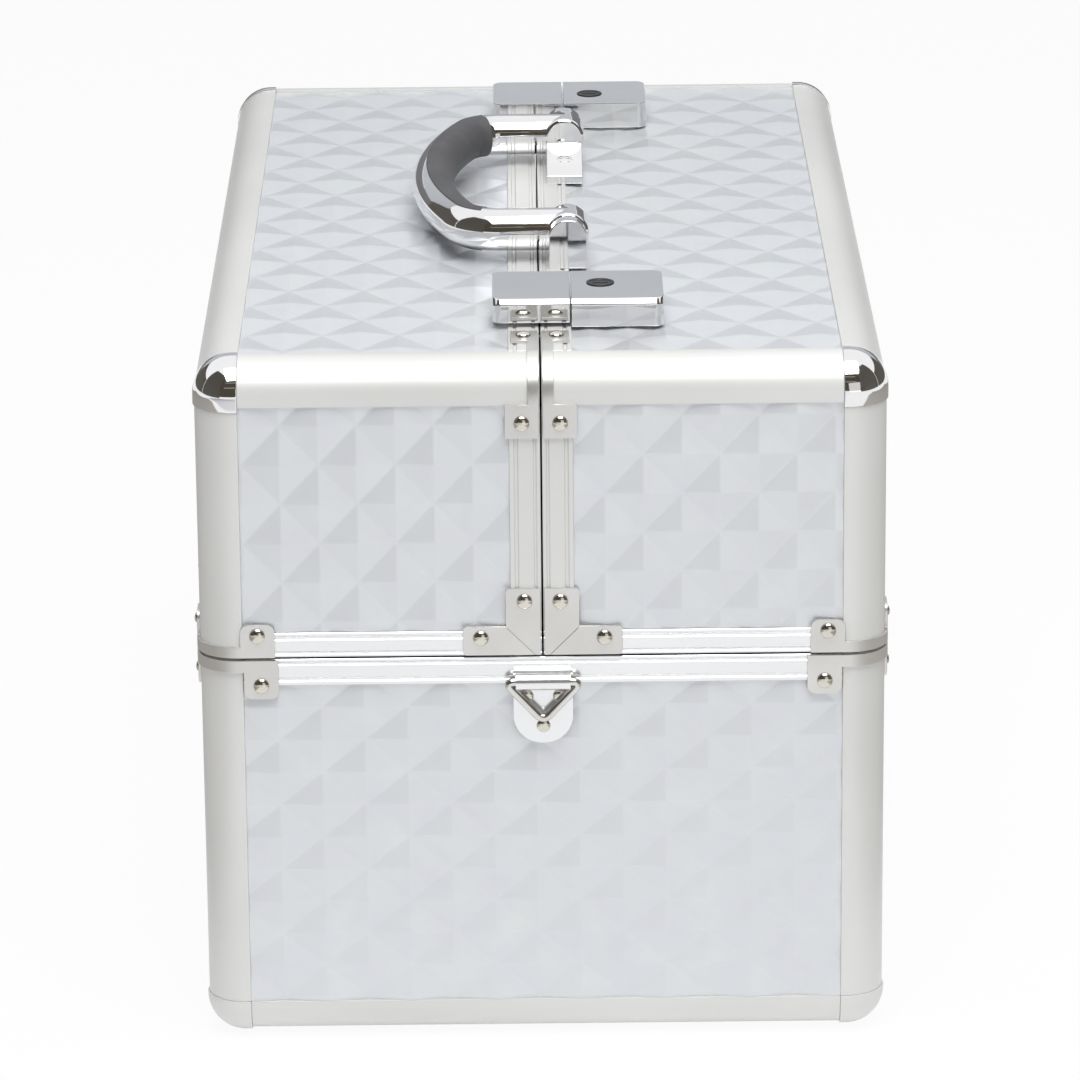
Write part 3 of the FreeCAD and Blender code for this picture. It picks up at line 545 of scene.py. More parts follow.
@dataclass
class DiamondSkin:
    """One embossed panel: a field of low pyramids between the rails."""

    origin: Triple
    across: Triple
    along: Triple
    window: tuple[float, float, float, float]
    pitch: Pair
    phase: Pair
    depth: float = 4.4 * MM
    low: float = 0.2 * MM
    rise: float = 1.25 * MM
    soft: float = 0.28 * MM

    def build(self) -> Part:
        """Model the panel flat, then stand it in its place.

        Returns:
            The panel.
        """
        w0, w1, h0, h1 = self.window
        ha, hb = self.pitch[0] / 2.0, self.pitch[1] / 2.0
        reach = max(abs(a - self.phase[0]) / ha + abs(b - self.phase[1]) / hb
                    for a in (w0, w1) for b in (h0, h1))
        cells = 2 * int(math.ceil((reach + 2.0) / 2.0)) + 1
        Bench.deselect()
        bpy.ops.mesh.primitive_grid_add(x_subdivisions=cells, y_subdivisions=cells, size=cells * math.sqrt(2.0))
        obj = bpy.context.object
        obj.rotation_euler = (0.0, 0.0, math.pi / 4.0)
        Bench.settle(obj)
        obj.scale = (ha, hb, 1.0)
        obj.location = (self.phase[0], self.phase[1], self.low)
        Bench.settle(obj)
        with Bench.edit(obj):
            Bench.every()
            bpy.ops.mesh.poke(offset=self.rise, use_relative_offset=False, center_mode="MEDIAN")
            Bench.pick(obj, Element.EDGE, lambda c, d: True)
            bpy.ops.mesh.bevel(offset=self.soft, segments=1, affect="EDGES", clamp_overlap=True)
            for point, normal in (((w0, 0, 0), (-1, 0, 0)), ((w1, 0, 0), EX),
                                  ((0, h0, 0), (0, -1, 0)), ((0, h1, 0), EY)):
                Bench.clip(point, normal)
            Bench.every()
            Bench.push((0.0, 0.0, -self.depth))
            bpy.ops.transform.resize(value=(1.0, 1.0, 0.0), center_override=(0.0, 0.0, -self.depth))
        Bench.outward(obj)
        a, b = Vector(self.across), Vector(self.along)
        place = Matrix((a, b, a.cross(b))).transposed().to_4x4()
        place.translation = self.origin
        obj.data.transform(place)
        Bench.hold(obj)
        bpy.ops.object.shade_flat()
        return obj


@dataclass
class PanelSet:
    """All embossed panels of the case."""

    edge: float = 0.03 * MM
    lid_end_right: Pair = mm(24.0, 25.4)
    lid_end_left: Pair = mm(24.0, 25.6)
    lid_top_right: Pair = mm(24.0, 34.5)
    lid_top_left: Pair = mm(24.0, 35.0)
    base_pitch: Pair = mm(27.1, 21.8)

    def build(self) -> None:
        """Model and dress every panel."""
        s, e = SIZES, self.edge
        leg = s.rail_leg + e
        x_in, x_out = s.seam + s.seam_rail + e, s.half_w - leg
        y_out = s.half_l - leg
        right, left, run = (x_in, x_out), (-x_out, -x_in), (-y_out, y_out)
        lid_z = (s.lid_bottom + s.lid_rim + e, s.height - leg)
        base_z = (s.foot_leg + e, s.base_top - s.base_rim - e)
        end = ((0.0, -s.half_l + s.rail_t, 0.0), EX, EZ)
        side = ((s.half_w - s.rail_t, 0.0, 0.0), EY, EZ)
        top = ((0.0, 0.0, s.height - s.rail_t), EX, EY)
        for node, body, face, window, pitch, phase, images in (
                ("base_end_panels", "base", end, (-x_out, x_out, *base_z), self.base_pitch,
                 mm(-70.0, 100.7), (Axis.Y,)),
                ("base_side_panels", "base", side, (*run, *base_z), self.base_pitch, mm(4.0, 100.7), (Axis.X,)),
                ("right_lid_end_panels", "right_lid", end, (*right, *lid_z), self.lid_end_right,
                 mm(31.7, 206.6), (Axis.Y,)),
                ("left_lid_end_panels", "left_lid", end, (*left, *lid_z), self.lid_end_left,
                 mm(-81.5, 191.3), (Axis.Y,)),
                ("right_lid_top_panel", "right_lid", top, (*right, *run), self.lid_top_right, mm(51.9, -139.5), ()),
                ("left_lid_top_panel", "left_lid", top, (*left, *run), self.lid_top_left, mm(-80.6, -149.5), ())):
            skin = DiamondSkin(*face, window, pitch, phase).build()
            SHOP.sign_off(Bench.mirrored([skin], *images), node + "_skin", body, PEARL, node)
        flank = DiamondSkin(*side, (*run, *lid_z), self.lid_end_left, mm(5.0, 191.3)).build()
        SHOP.both_lids([flank], "side_panel", "_skin", PEARL)


@dataclass
class RoundedRails:
    """Quarter-round aluminium rails on the box edges, and the caps on its corners."""

    steps: int = 12
    edge: float = 0.3 * MM
    spare: float = 10.0 * MM
    cap_ease: float = 0.3 * MM

    def rail(self, run: Axis, ends: Pair, outer: Triple, inward: Triple, leg: Triple) -> Part:
        """Model one straight rail.

        Args:
            run: the axis it runs along.
            ends: where it starts and stops on that axis.
            outer: the sharp box edge that it covers.
            inward: on the other two axes, the way into the case.
            leg: length of its legs on the other two axes.

        Returns:
            The rail.
        """
        s = SIZES
        others = [k for k in range(3) if k != run.value]
        low, high, cut_low, cut_high = [0.0] * 3, [0.0] * 3, [0.0] * 3, [0.0] * 3
        low[run.value], high[run.value] = ends
        cut_low[run.value], cut_high[run.value] = ends[0] - self.spare, ends[1] + self.spare
        for k in others:
            low[k], high[k] = outer[k], outer[k] + inward[k] * leg[k]
            cut_low[k] = outer[k] + inward[k] * s.rail_block
            cut_high[k] = outer[k] + inward[k] * (leg[k] + self.spare)
        obj = Bench.block(low, high)
        with Bench.edit(obj):
            Bench.round_over(obj, lambda c, d: all(abs(c[k] - outer[k]) < EPS for k in others), s.rail_r, self.steps)
        Bench.boolean(obj, Bench.block(cut_low, cut_high))
        return Bench.soften(obj, self.edge)

    def cap(self, outer: Triple, inward: Triple, leg: Triple, floor_z: Optional[float] = None) -> Part:
        """Model one rounded corner cap.

        Args:
            outer: the sharp box corner.
            inward: the way into the case on each axis.
            leg: length of the cap on each axis.
            floor_z: height below which the cap is trimmed.

        Returns:
            The cap.
        """
        s = SIZES
        start = [outer[k] - inward[k] * s.proud for k in range(3)]
        obj = Bench.block(start, [outer[k] + inward[k] * leg[k] for k in range(3)])
        with Bench.edit(obj):
            Bench.round_over(obj, lambda c, d: sum(abs(c[k] - start[k]) < EPS for k in range(3)) == 2,
                             s.rail_r + s.proud - self.cap_ease, self.steps)
        Bench.boolean(obj, Bench.block([outer[k] + inward[k] * s.rail_block for k in range(3)],
                                       [outer[k] + inward[k] * 3.0 * self.spare for k in range(3)]))
        Bench.soften(obj, self.edge)
        if floor_z is not None:
            with Bench.edit(obj):
                Bench.score((0.0, 0.0, floor_z), (0.0, 0.0, -1.0), True)
            Bench.soften(obj)
        return obj

    def build(self) -> None:
        """Model and dress the rounded rails and the corner caps."""
        s = SIZES
        w, l, h = s.half_w, s.half_l, s.height
        x_end, y_end = w - s.rail_leg, l - s.rail_leg
        leg = (s.rail_leg,) * 3
        foot = (s.rail_leg, s.rail_leg, s.foot_leg)
        post = self.rail(Axis.Z, (s.foot_leg, s.base_top), (w, -l, 0.0), (-1, 1, 0), leg)
        across = self.rail(Axis.X, (-x_end, x_end), (0.0, -l, 0.0), (0, 1, 1), foot)
        along = self.rail(Axis.Y, (-y_end, y_end), (w, 0.0, 0.0), (-1, 0, 1), foot)
        cap = self.cap((w, -l, 0.0), (-1, 1, 1), foot, 0.0)
        for node, parts in (
                ("base_corner_posts", Bench.mirrored([post], Axis.X, Axis.Y)),
                ("base_bottom_rails", Bench.mirrored([across], Axis.Y) + Bench.mirrored([along], Axis.X)),
                ("base_bottom_corners", Bench.mirrored([cap], Axis.X, Axis.Y))):
            SHOP.sign_off(parts, node + "_satin", "base", ALUMINIUM, node)
        along = self.rail(Axis.Y, (-y_end, y_end), (w, 0.0, h), (-1, 0, -1), leg)
        across = self.rail(Axis.X, (s.seam, x_end), (0.0, -l, h), (0, 1, -1), leg)
        post = self.rail(Axis.Z, (s.lid_bottom, h - s.ball_leg), (w, -l, 0.0), (-1, 1, 0), leg)
        parts = [along] + Bench.mirrored([across, post], Axis.Y)
        SHOP.both_lids(parts, "edge_rails", "_satin", ALUMINIUM)
        ball = self.cap((w, -l, h), (-1, 1, -1), (s.rail_leg, s.rail_leg, s.ball_leg))
        SHOP.both_lids(Bench.mirrored([ball], Axis.Y), "ball_corners", "_polished", CHROME)


@dataclass
class GroovedRails:
    """Flat grooved rails along the seams, each with a cap across the wall."""

    cap: float = 1.5 * MM
    groove: float = 0.45 * MM
    bands: tuple[Pair, ...] = ((0.13, 0.22), (0.72, 0.84))
    edge: float = 0.18 * MM

    def rail(self, run: Axis, ends: Pair, corner: Triple, inward: Triple, leg_way: Triple, leg: float) -> Part:
        """Model one grooved rail.

        Args:
            run: the axis it runs along.
            ends: where it starts and stops on that axis.
            corner: the outer seam edge.
            inward: unit step through the wall.
            leg_way: unit step along the face, away from the seam.
            leg: width of the visible face.

        Returns:
            The rail.
        """
        s = SIZES
        n, w, base = Vector(inward), Vector(leg_way), Vector(corner)
        unit = Vector([1.0 if k == run.value else 0.0 for k in range(3)])
        base -= unit * base.dot(unit)
        obj = Bench.block(base + unit * ends[0], base + unit * ends[1] + n * s.wall + w * self.cap)
        with Bench.edit(obj):
            Bench.score(base + n * s.rail_t, n)
            Bench.pull(obj, Element.FACE, lambda c, d: d.dot(w) > ALIGNED and (c - base).dot(n) < s.rail_t,
                       w * (leg - self.cap))
            for low, high in self.bands:
                Bench.score(base + w * (leg * low), w)
                Bench.score(base + w * (leg * high), w)
                Bench.pull(obj, Element.FACE,
                           lambda c, d: d.dot(n) < -ALIGNED and leg * low < (c - base).dot(w) < leg * high,
                           n * self.groove)
        Bench.outward(obj)
        return Bench.soften(obj, self.edge, 1)

    def build(self) -> None:
        """Model and dress the rim rails and the lid seam rails."""
        s = SIZES
        w, l = s.half_w, s.half_l
        x_end, y_end = w - s.rail_leg, l - s.rail_leg
        front = self.rail(Axis.X, (-x_end, x_end), (0.0, -l, s.base_top), EY, (0, 0, -1), s.base_rim)
        side = self.rail(Axis.Y, (-y_end, y_end), (w, 0.0, s.base_top), (-1, 0, 0), (0, 0, -1), s.base_rim)
        SHOP.sign_off(Bench.mirrored([front], Axis.Y) + Bench.mirrored([side], Axis.X), "base_rim_rails_grooved",
                      "base", RIM_METAL, "base_rim_rails")
        front = self.rail(Axis.X, (s.seam, x_end), (0.0, -l, s.lid_bottom), EY, EZ, s.lid_rim)
        side = self.rail(Axis.Y, (-y_end, y_end), (w, 0.0, s.lid_bottom), (-1, 0, 0), EZ, s.lid_rim)
        SHOP.both_lids(Bench.mirrored([front], Axis.Y) + [side], "rim_rails", "_grooved", RIM_METAL)
        up = self.rail(Axis.Z, (s.lid_bottom + s.lid_rim, s.height - s.rail_leg), (s.seam, -l, 0.0), EY, EX,
                       s.seam_rail)
        top = self.rail(Axis.Y, (-y_end, y_end), (s.seam, 0.0, s.height), (0, 0, -1), EX, s.seam_rail)
        SHOP.both_lids(Bench.mirrored([up], Axis.Y) + [top], "seam_rails", "_grooved", ALUMINIUM)


@dataclass
class Fasteners:
    """Domed rivets."""

    radius: float = 2.5 * MM
    crown: float = 1.4 * MM
    sides: int = 20
    rings: int = 12
    skirt: float = 0.15

    def dome(self, point: Vector, way: Vector, scale: float = 1.0) -> Part:
        """Model one rivet head.

        Args:
            point: centre of its seat.
            way: direction that it stands out.
            scale: size against the standard head.

        Returns:
            The rivet head.
        """
        Bench.deselect()
        bpy.ops.mesh.primitive_uv_sphere_add(segments=self.sides, ring_count=self.rings, radius=1.0)
        obj = bpy.context.object
        r, h = self.radius * scale, self.crown * scale
        with Bench.edit(obj):
            Bench.score((0.0, 0.0, 0.0), (0.0, 0.0, -1.0), True)
            Bench.every()
            bpy.ops.transform.resize(value=(r, r, h * (1.0 - self.skirt)), center_override=(0.0, 0.0, 0.0))
            bpy.ops.transform.translate(value=(0.0, 0.0, h * self.skirt))
            Bench.pull(obj, Element.FACE, lambda c, d: d.z < -ALIGNED, (0.0, 0.0, -h * self.skirt))
        obj.data.transform(Matrix.Translation(point) @ Bench.turn_to(way))
        return Bench.soften(obj)


@dataclass
class SeamHardware:
    """Pressed nickel brackets at the seams, their rivets, and the hinges."""

    gauge: float = 1.0 * MM
    bend_steps: int = 8
    gap: float = 0.3 * MM
    rim_gap: float = 0.1 * MM
    break_edge: float = 0.2 * MM
    elbow: tuple[float, float, float, float] = mm(24.5, 9.8, 11.0, 22.0)  # width, foot height, stem width, height
    elbow_round: float = 1.2 * MM
    mitre: Triple = mm(0.2, 0.4, 20.0)  # half width, depth and half length of the scored line
    mitre_inset: Pair = mm(0.5, 0.8)  # its corner end, in from the inner corner
    mitre_stop: Pair = mm(0.4, 0.6)  # where it is cut off, in from the inner corner
    mitre_back: float = 10.388 * MM  # its middle, back from its corner end on both arms
    spare: float = 2.0 * MM
    saddle_run: Triple = mm(22.0, 11.0, 8.6)  # over the edge, length and width of the tab
    saddle_ends: Pair = mm(-10.4, 0.6)  # lower and upper end of the flange, from the rail
    flange: float = 10.7 * MM
    neck: float = 3.5 * MM
    wrap: float = 11.0 * MM
    wrap_round: float = 2.6 * MM
    lid_wrap: Triple = mm(3.6, 11.0, 13.0)  # strip, flange height and inset
    base_wrap: Triple = mm(-4.0, -12.8, 14.0)
    elbow_pins: tuple[Pair, ...] = (mm(5.0, 18.0), mm(18.8, 6.0))  # across and up
    saddle_pins: tuple[Pair, ...] = (mm(5.4, 5.5), mm(4.6, 27.5))  # across and down, across and back
    lid_wrap_pin: Pair = mm(18.5, 7.3)  # in from the corner, away from the seam
    base_wrap_pin: Pair = mm(19.5, 8.5)
    side_head: float = 0.7
    hinge_head: float = 0.8
    hinge_y: float = -72.0 * MM
    hinge_pins: Pair = mm(13.0, 12.32)  # each way along the hinge, away from the seam
    rivets: Fasteners = field(default_factory=Fasteners)

    def elbow_plate(self) -> Part:
        """Model the L-shaped plate at the foot of the lid seam.

        Returns:
            The plate, on the front end of the right lid.
        """
        s, g = SIZES, self.gap
        wide, low, narrow, tall = self.elbow
        x, y, z = s.seam + g, -s.half_l, s.lid_bottom + g
        obj = Bench.block((x, y - self.gauge, z), (x + narrow, y, z + tall))
        with Bench.edit(obj):
            Bench.score((0.0, 0.0, z + low - g), EZ)
            Bench.pull(obj, Element.FACE, lambda c, d: d.x > ALIGNED and c.z < z + low - g,
                       (wide - narrow, 0.0, 0.0))
            Bench.round_over(obj, lambda c, d: abs(d.y) > ALIGNED and (
                (c.z > z + tall - EPS and c.x > x + narrow - EPS) or c.x > x + wide - EPS), self.elbow_round, 4)
        half, deep, reach = self.mitre
        slit = Bench.block((-half, y - self.spare, -reach), (half, y - self.gauge + deep, reach))
        slit.data.transform(Matrix.Translation((x + narrow - self.mitre_inset[0] - self.mitre_back, 0.0,
                                                z + low - self.mitre_inset[1] - self.mitre_back))
                            @ Matrix.Rotation(math.radians(45.0), 4, "Y"))
        trim = Bench.block((x, y - 2.0 * self.spare, z),
                           (x + narrow - self.mitre_stop[0], y + self.spare, z + low - self.mitre_stop[1]))
        Bench.boolean(slit, trim, "INTERSECT")
        Bench.soften(obj, self.break_edge)
        Bench.boolean(obj, slit)
        return Bench.soften(obj)

    def _face(self, x: Pair, z: Pair) -> Part:
        """Add one upright face on the front end, from its spans.

        Args:
            x: where it starts and stops across the case.
            z: where it starts and stops in height.

        Returns:
            The face, as an open sheet.
        """
        y = -SIZES.half_l
        obj = Bench.block((x[0], y, z[0]), (x[1], y + self.gauge, z[1]))
        with Bench.edit(obj):
            Bench.pick(obj, Element.FACE, lambda c, d: d.y > -ALIGNED)
            bpy.ops.mesh.delete(type="FACE")
        return obj

    def _pressed(self, obj: Part, way: Vector) -> Part:
        """Turn a bent sheet to look along a direction and give it its gauge.

        Args:
            obj: the sheet.
            way: direction that its faces look along.

        Returns:
            The same piece.
        """
        total = sum((p.normal * p.area for p in obj.data.polygons), Vector())
        if total.dot(way) < 0.0:
            obj.data.flip_normals()
        Bench.thicken(obj, self.gauge)
        return Bench.soften(obj, self.break_edge)

    def saddle(self) -> Part:
        """Model the strap that goes from the end over the top edge beside the seam.

        Returns:
            The strap, on the front end of the right lid.
        """
        s = SIZES
        over, tab, foot = self.saddle_run
        low, start = self.saddle_ends
        x, y, z = s.seam + self.gap, -s.half_l, s.height - s.rail_leg
        obj = self._face((x, x + self.flange), (z + low, z + start))
        with Bench.edit(obj):
            Bench.score((x + self.neck, 0.0, 0.0), EX)
            Bench.pull(obj, Element.EDGE, lambda c, d: c.z > z and c.x < x + self.neck and abs(d.x) > ALIGNED,
                       (0.0, 0.0, s.rail_leg - start))
            Bench.push((0.0, over, 0.0))
            Bench.push((0.0, tab, 0.0))
            Bench.pull(obj, Element.EDGE, lambda c, d: c.y > y + over and c.x > x + self.neck - EPS
                       and abs(d.y) > ALIGNED, (foot - self.neck, 0.0, 0.0))
            Bench.round_over(obj, lambda c, d: abs(c.z - s.height) < EPS and abs(c.y - y) < EPS, s.rail_r,
                             self.bend_steps)
            Bench.every()
            bpy.ops.mesh.normals_make_consistent(inside=False)
        return self._pressed(obj, Vector(OUT))

    def corner_wrap(self, z_edge: float, shape: Triple) -> Part:
        """Model the bracket that wraps a corner post at the seam.

        Args:
            z_edge: seam-side edge of the bracket.
            shape: signed width of its strip round the corner, signed height of its flanges, and how far
                in from the corner the flanges start.

        Returns:
            The bracket, on the front right corner.
        """
        s = SIZES
        strip, tall, inset = shape
        x_out, y = s.half_w - inset, -s.half_l
        lip, far = z_edge + strip, z_edge + tall
        obj = self._face((x_out - self.wrap, x_out), (z_edge, lip))
        with Bench.edit(obj):
            Bench.pull(obj, Element.EDGE, lambda c, d: c.x > x_out - EPS, (inset, 0.0, 0.0))
            Bench.push((0.0, inset, 0.0))
            Bench.push((0.0, self.wrap, 0.0))
            Bench.pull(obj, Element.EDGE, lambda c, d: abs(c.z - lip) < EPS and abs(d.z) < EPS and (
                c.x < x_out - EPS or c.y > y + inset + EPS), (0.0, 0.0, tall - strip))
            Bench.round_over(obj, lambda c, d: abs(c.x - s.half_w) < EPS and abs(c.y - y) < EPS, s.rail_r,
                             self.bend_steps)
            Bench.pick(obj, Element.VERT, lambda c, d: abs(c.z - far) < EPS)
            bpy.ops.mesh.bevel(offset=self.wrap_round, segments=4, affect="VERTICES")
        return self._pressed(obj, Vector((1.0, -1.0, 0.0)))

    def heads(self) -> tuple[list[Part], list[Part]]:
        """Model the rivet heads of the front right quarter.

        Returns:
            Those on the right lid and those on the base.
        """
        s = SIZES
        x, x_side, y = s.seam + self.gap, s.half_w + self.gauge, -s.half_l - self.gauge
        (front_x, front_z), (top_x, top_y) = self.saddle_pins
        lid = [((x + a, y, s.lid_bottom + b), OUT, 1.0) for a, b in self.elbow_pins]
        lid.append(((x + front_x, y, s.height - s.rail_leg - front_z), OUT, 1.0))
        lid.append(((x + top_x, top_y - s.half_l, s.height + self.gauge), EZ, 1.0))
        base: list[tuple[Triple, Triple, float]] = []
        for group, inset, z in (
                (lid, self.lid_wrap_pin[0], s.lid_bottom + self.rim_gap + self.lid_wrap_pin[1]),
                (base, self.base_wrap_pin[0], s.base_top - self.base_wrap_pin[1])):
            group.append(((s.half_w - inset, y, z), OUT, 1.0))
            group.append(((x_side, inset - s.half_l, z), EX, self.side_head))
        apart, rise = self.hinge_pins
        for at in (self.hinge_y - apart, self.hinge_y + apart):
            lid.append(((x_side, at, s.lid_bottom + rise), EX, self.hinge_head))
            base.append(((x_side, at, s.base_top - rise), EX, self.hinge_head))
        return tuple([self.rivets.dome(Vector(p), Vector(way), size) for p, way, size in group]
                     for group in (lid, base))

    def build(self) -> None:
        """Model and dress brackets, rivets and hinges."""
        s = SIZES
        lid = [self.elbow_plate(), self.saddle(), self.corner_wrap(s.lid_bottom + self.rim_gap, self.lid_wrap)]
        SHOP.both_lids(Bench.mirrored(lid, Axis.Y), "brackets", "_nickel", PLATE)
        base = self.corner_wrap(s.base_top - self.rim_gap, self.base_wrap)
        SHOP.sign_off(Bench.mirrored([base], Axis.X, Axis.Y), "base_rim_brackets_nickel", "base", PLATE,
                      "base_rim_brackets")
        lid_heads, base_heads = self.heads()
        SHOP.both_lids(Bench.mirrored(lid_heads, Axis.Y), "rivets", "_nickel", RIVET_WITH_PAINTED_REFLECTION)
        heads = Bench.mirrored(base_heads, Axis.X, Axis.Y) + Bench.mirrored(StrapFittings().heads(), Axis.Y)
        SHOP.sign_off(heads, "base_rivets_nickel", "base", RIVET_WITH_PAINTED_REFLECTION, "base_rivets")
        for body in ("base", "right_lid", "left_lid"):
            SHOP.dress_node(body + "_hinge_leaves", PLATE)


@dataclass
class StrapFittings:
    """Plate, loop and wire ring for a shoulder strap, one on each end of the base."""

    half: float = 9.4 * MM
    gauge: float = 1.2 * MM
    tail: float = 21.2 * MM
    head: float = 2.0 * MM
    tail_round: float = 9.2 * MM
    edge: float = 0.25 * MM
    ring_z: float = 121.0 * MM
    ring_y: float = -191.0 * MM
    wire: float = 1.4 * MM
    play: float = 0.05 * MM
    loop: float = 2.6 * MM
    roll: float = 8.6 * MM
    bore: float = 9.0 * MM
    web: Pair = mm(0.6, 1.9)  # its span above the loop's axis
    web_sink: float = 0.2 * MM
    ring: tuple[Pair, ...] = (mm(-12.0, 0.0), mm(12.0, 0.0), mm(0.0, -13.0))  # corners, from the axis
    ring_round: float = 2.8 * MM
    pins: tuple[Pair, ...] = (mm(-5.2, 115.4), mm(5.2, 115.4), mm(0.0, 105.5))
    pin_head: Fasteners = field(default_factory=lambda: Fasteners(2.2 * MM, 1.0 * MM))

    def heads(self) -> list[Part]:
        """Return the rivet heads of the front plate."""
        y = -SIZES.half_l - self.gauge
        return [self.pin_head.dome(Vector((x, y, z)), Vector(OUT)) for x, z in self.pins]

    def plate(self) -> Part:
        """Model the plate with its rolled loop.

        Returns:
            The plate on the front end.
        """
        y, r, ry, rz = -SIZES.half_l, self.roll, self.ring_y, self.ring_z
        low = rz - self.tail
        obj = Bench.block((-self.half, y - self.gauge, low), (self.half, y, rz + self.head))
        with Bench.edit(obj):
            Bench.round_over(obj, lambda c, d: abs(d.y) > ALIGNED and c.z < low + EPS, self.tail_round, 12)
        web = Bench.block((-r, ry, rz + self.web[0]), (r, y - self.web_sink, rz + self.web[1]))
        Bench.boolean(obj, web, "UNION")
        Bench.boolean(obj, Bench.rod(self.loop, (-r, ry, rz), (r, ry, rz)), "UNION")
        Bench.boolean(obj, Bench.rod(self.wire + self.play, (-self.bore, ry, rz), (self.bore, ry, rz)))
        return Bench.soften(obj, self.edge)

    def wire_ring(self) -> Part:
        """Model the triangular wire ring.

        Returns:
            The ring on the front end, hanging.
        """
        Bench.deselect()
        bpy.ops.mesh.primitive_circle_add(vertices=len(self.ring), radius=1.0)
        obj = bpy.context.object
        for vert, (x, z) in zip(obj.data.vertices, self.ring):
            vert.co = (x, self.ring_y, self.ring_z + z)
        with Bench.edit(obj):
            Bench.every()
            bpy.ops.mesh.bevel(offset=self.ring_round, segments=6, affect="VERTICES")
        Bench.hold(obj)
        bpy.ops.object.convert(target="CURVE")
        obj = bpy.context.object
        obj.data.bevel_depth = self.wire
        obj.data.bevel_resolution = 5
        bpy.ops.object.convert(target="MESH")
        obj = bpy.context.object
        Bench.outward(obj)
        return Bench.soften(obj)

    def build(self) -> None:
        """Model and dress both fittings."""
        SHOP.sign_off(Bench.mirrored([self.plate()], Axis.Y), "strap_plates_bright", "base", RIM_METAL,
                      "base_strap_plates")
        SHOP.both_ends(self.wire_ring(), "strap_ring_wire_", "ring_", NICKEL, "strap_ring_")


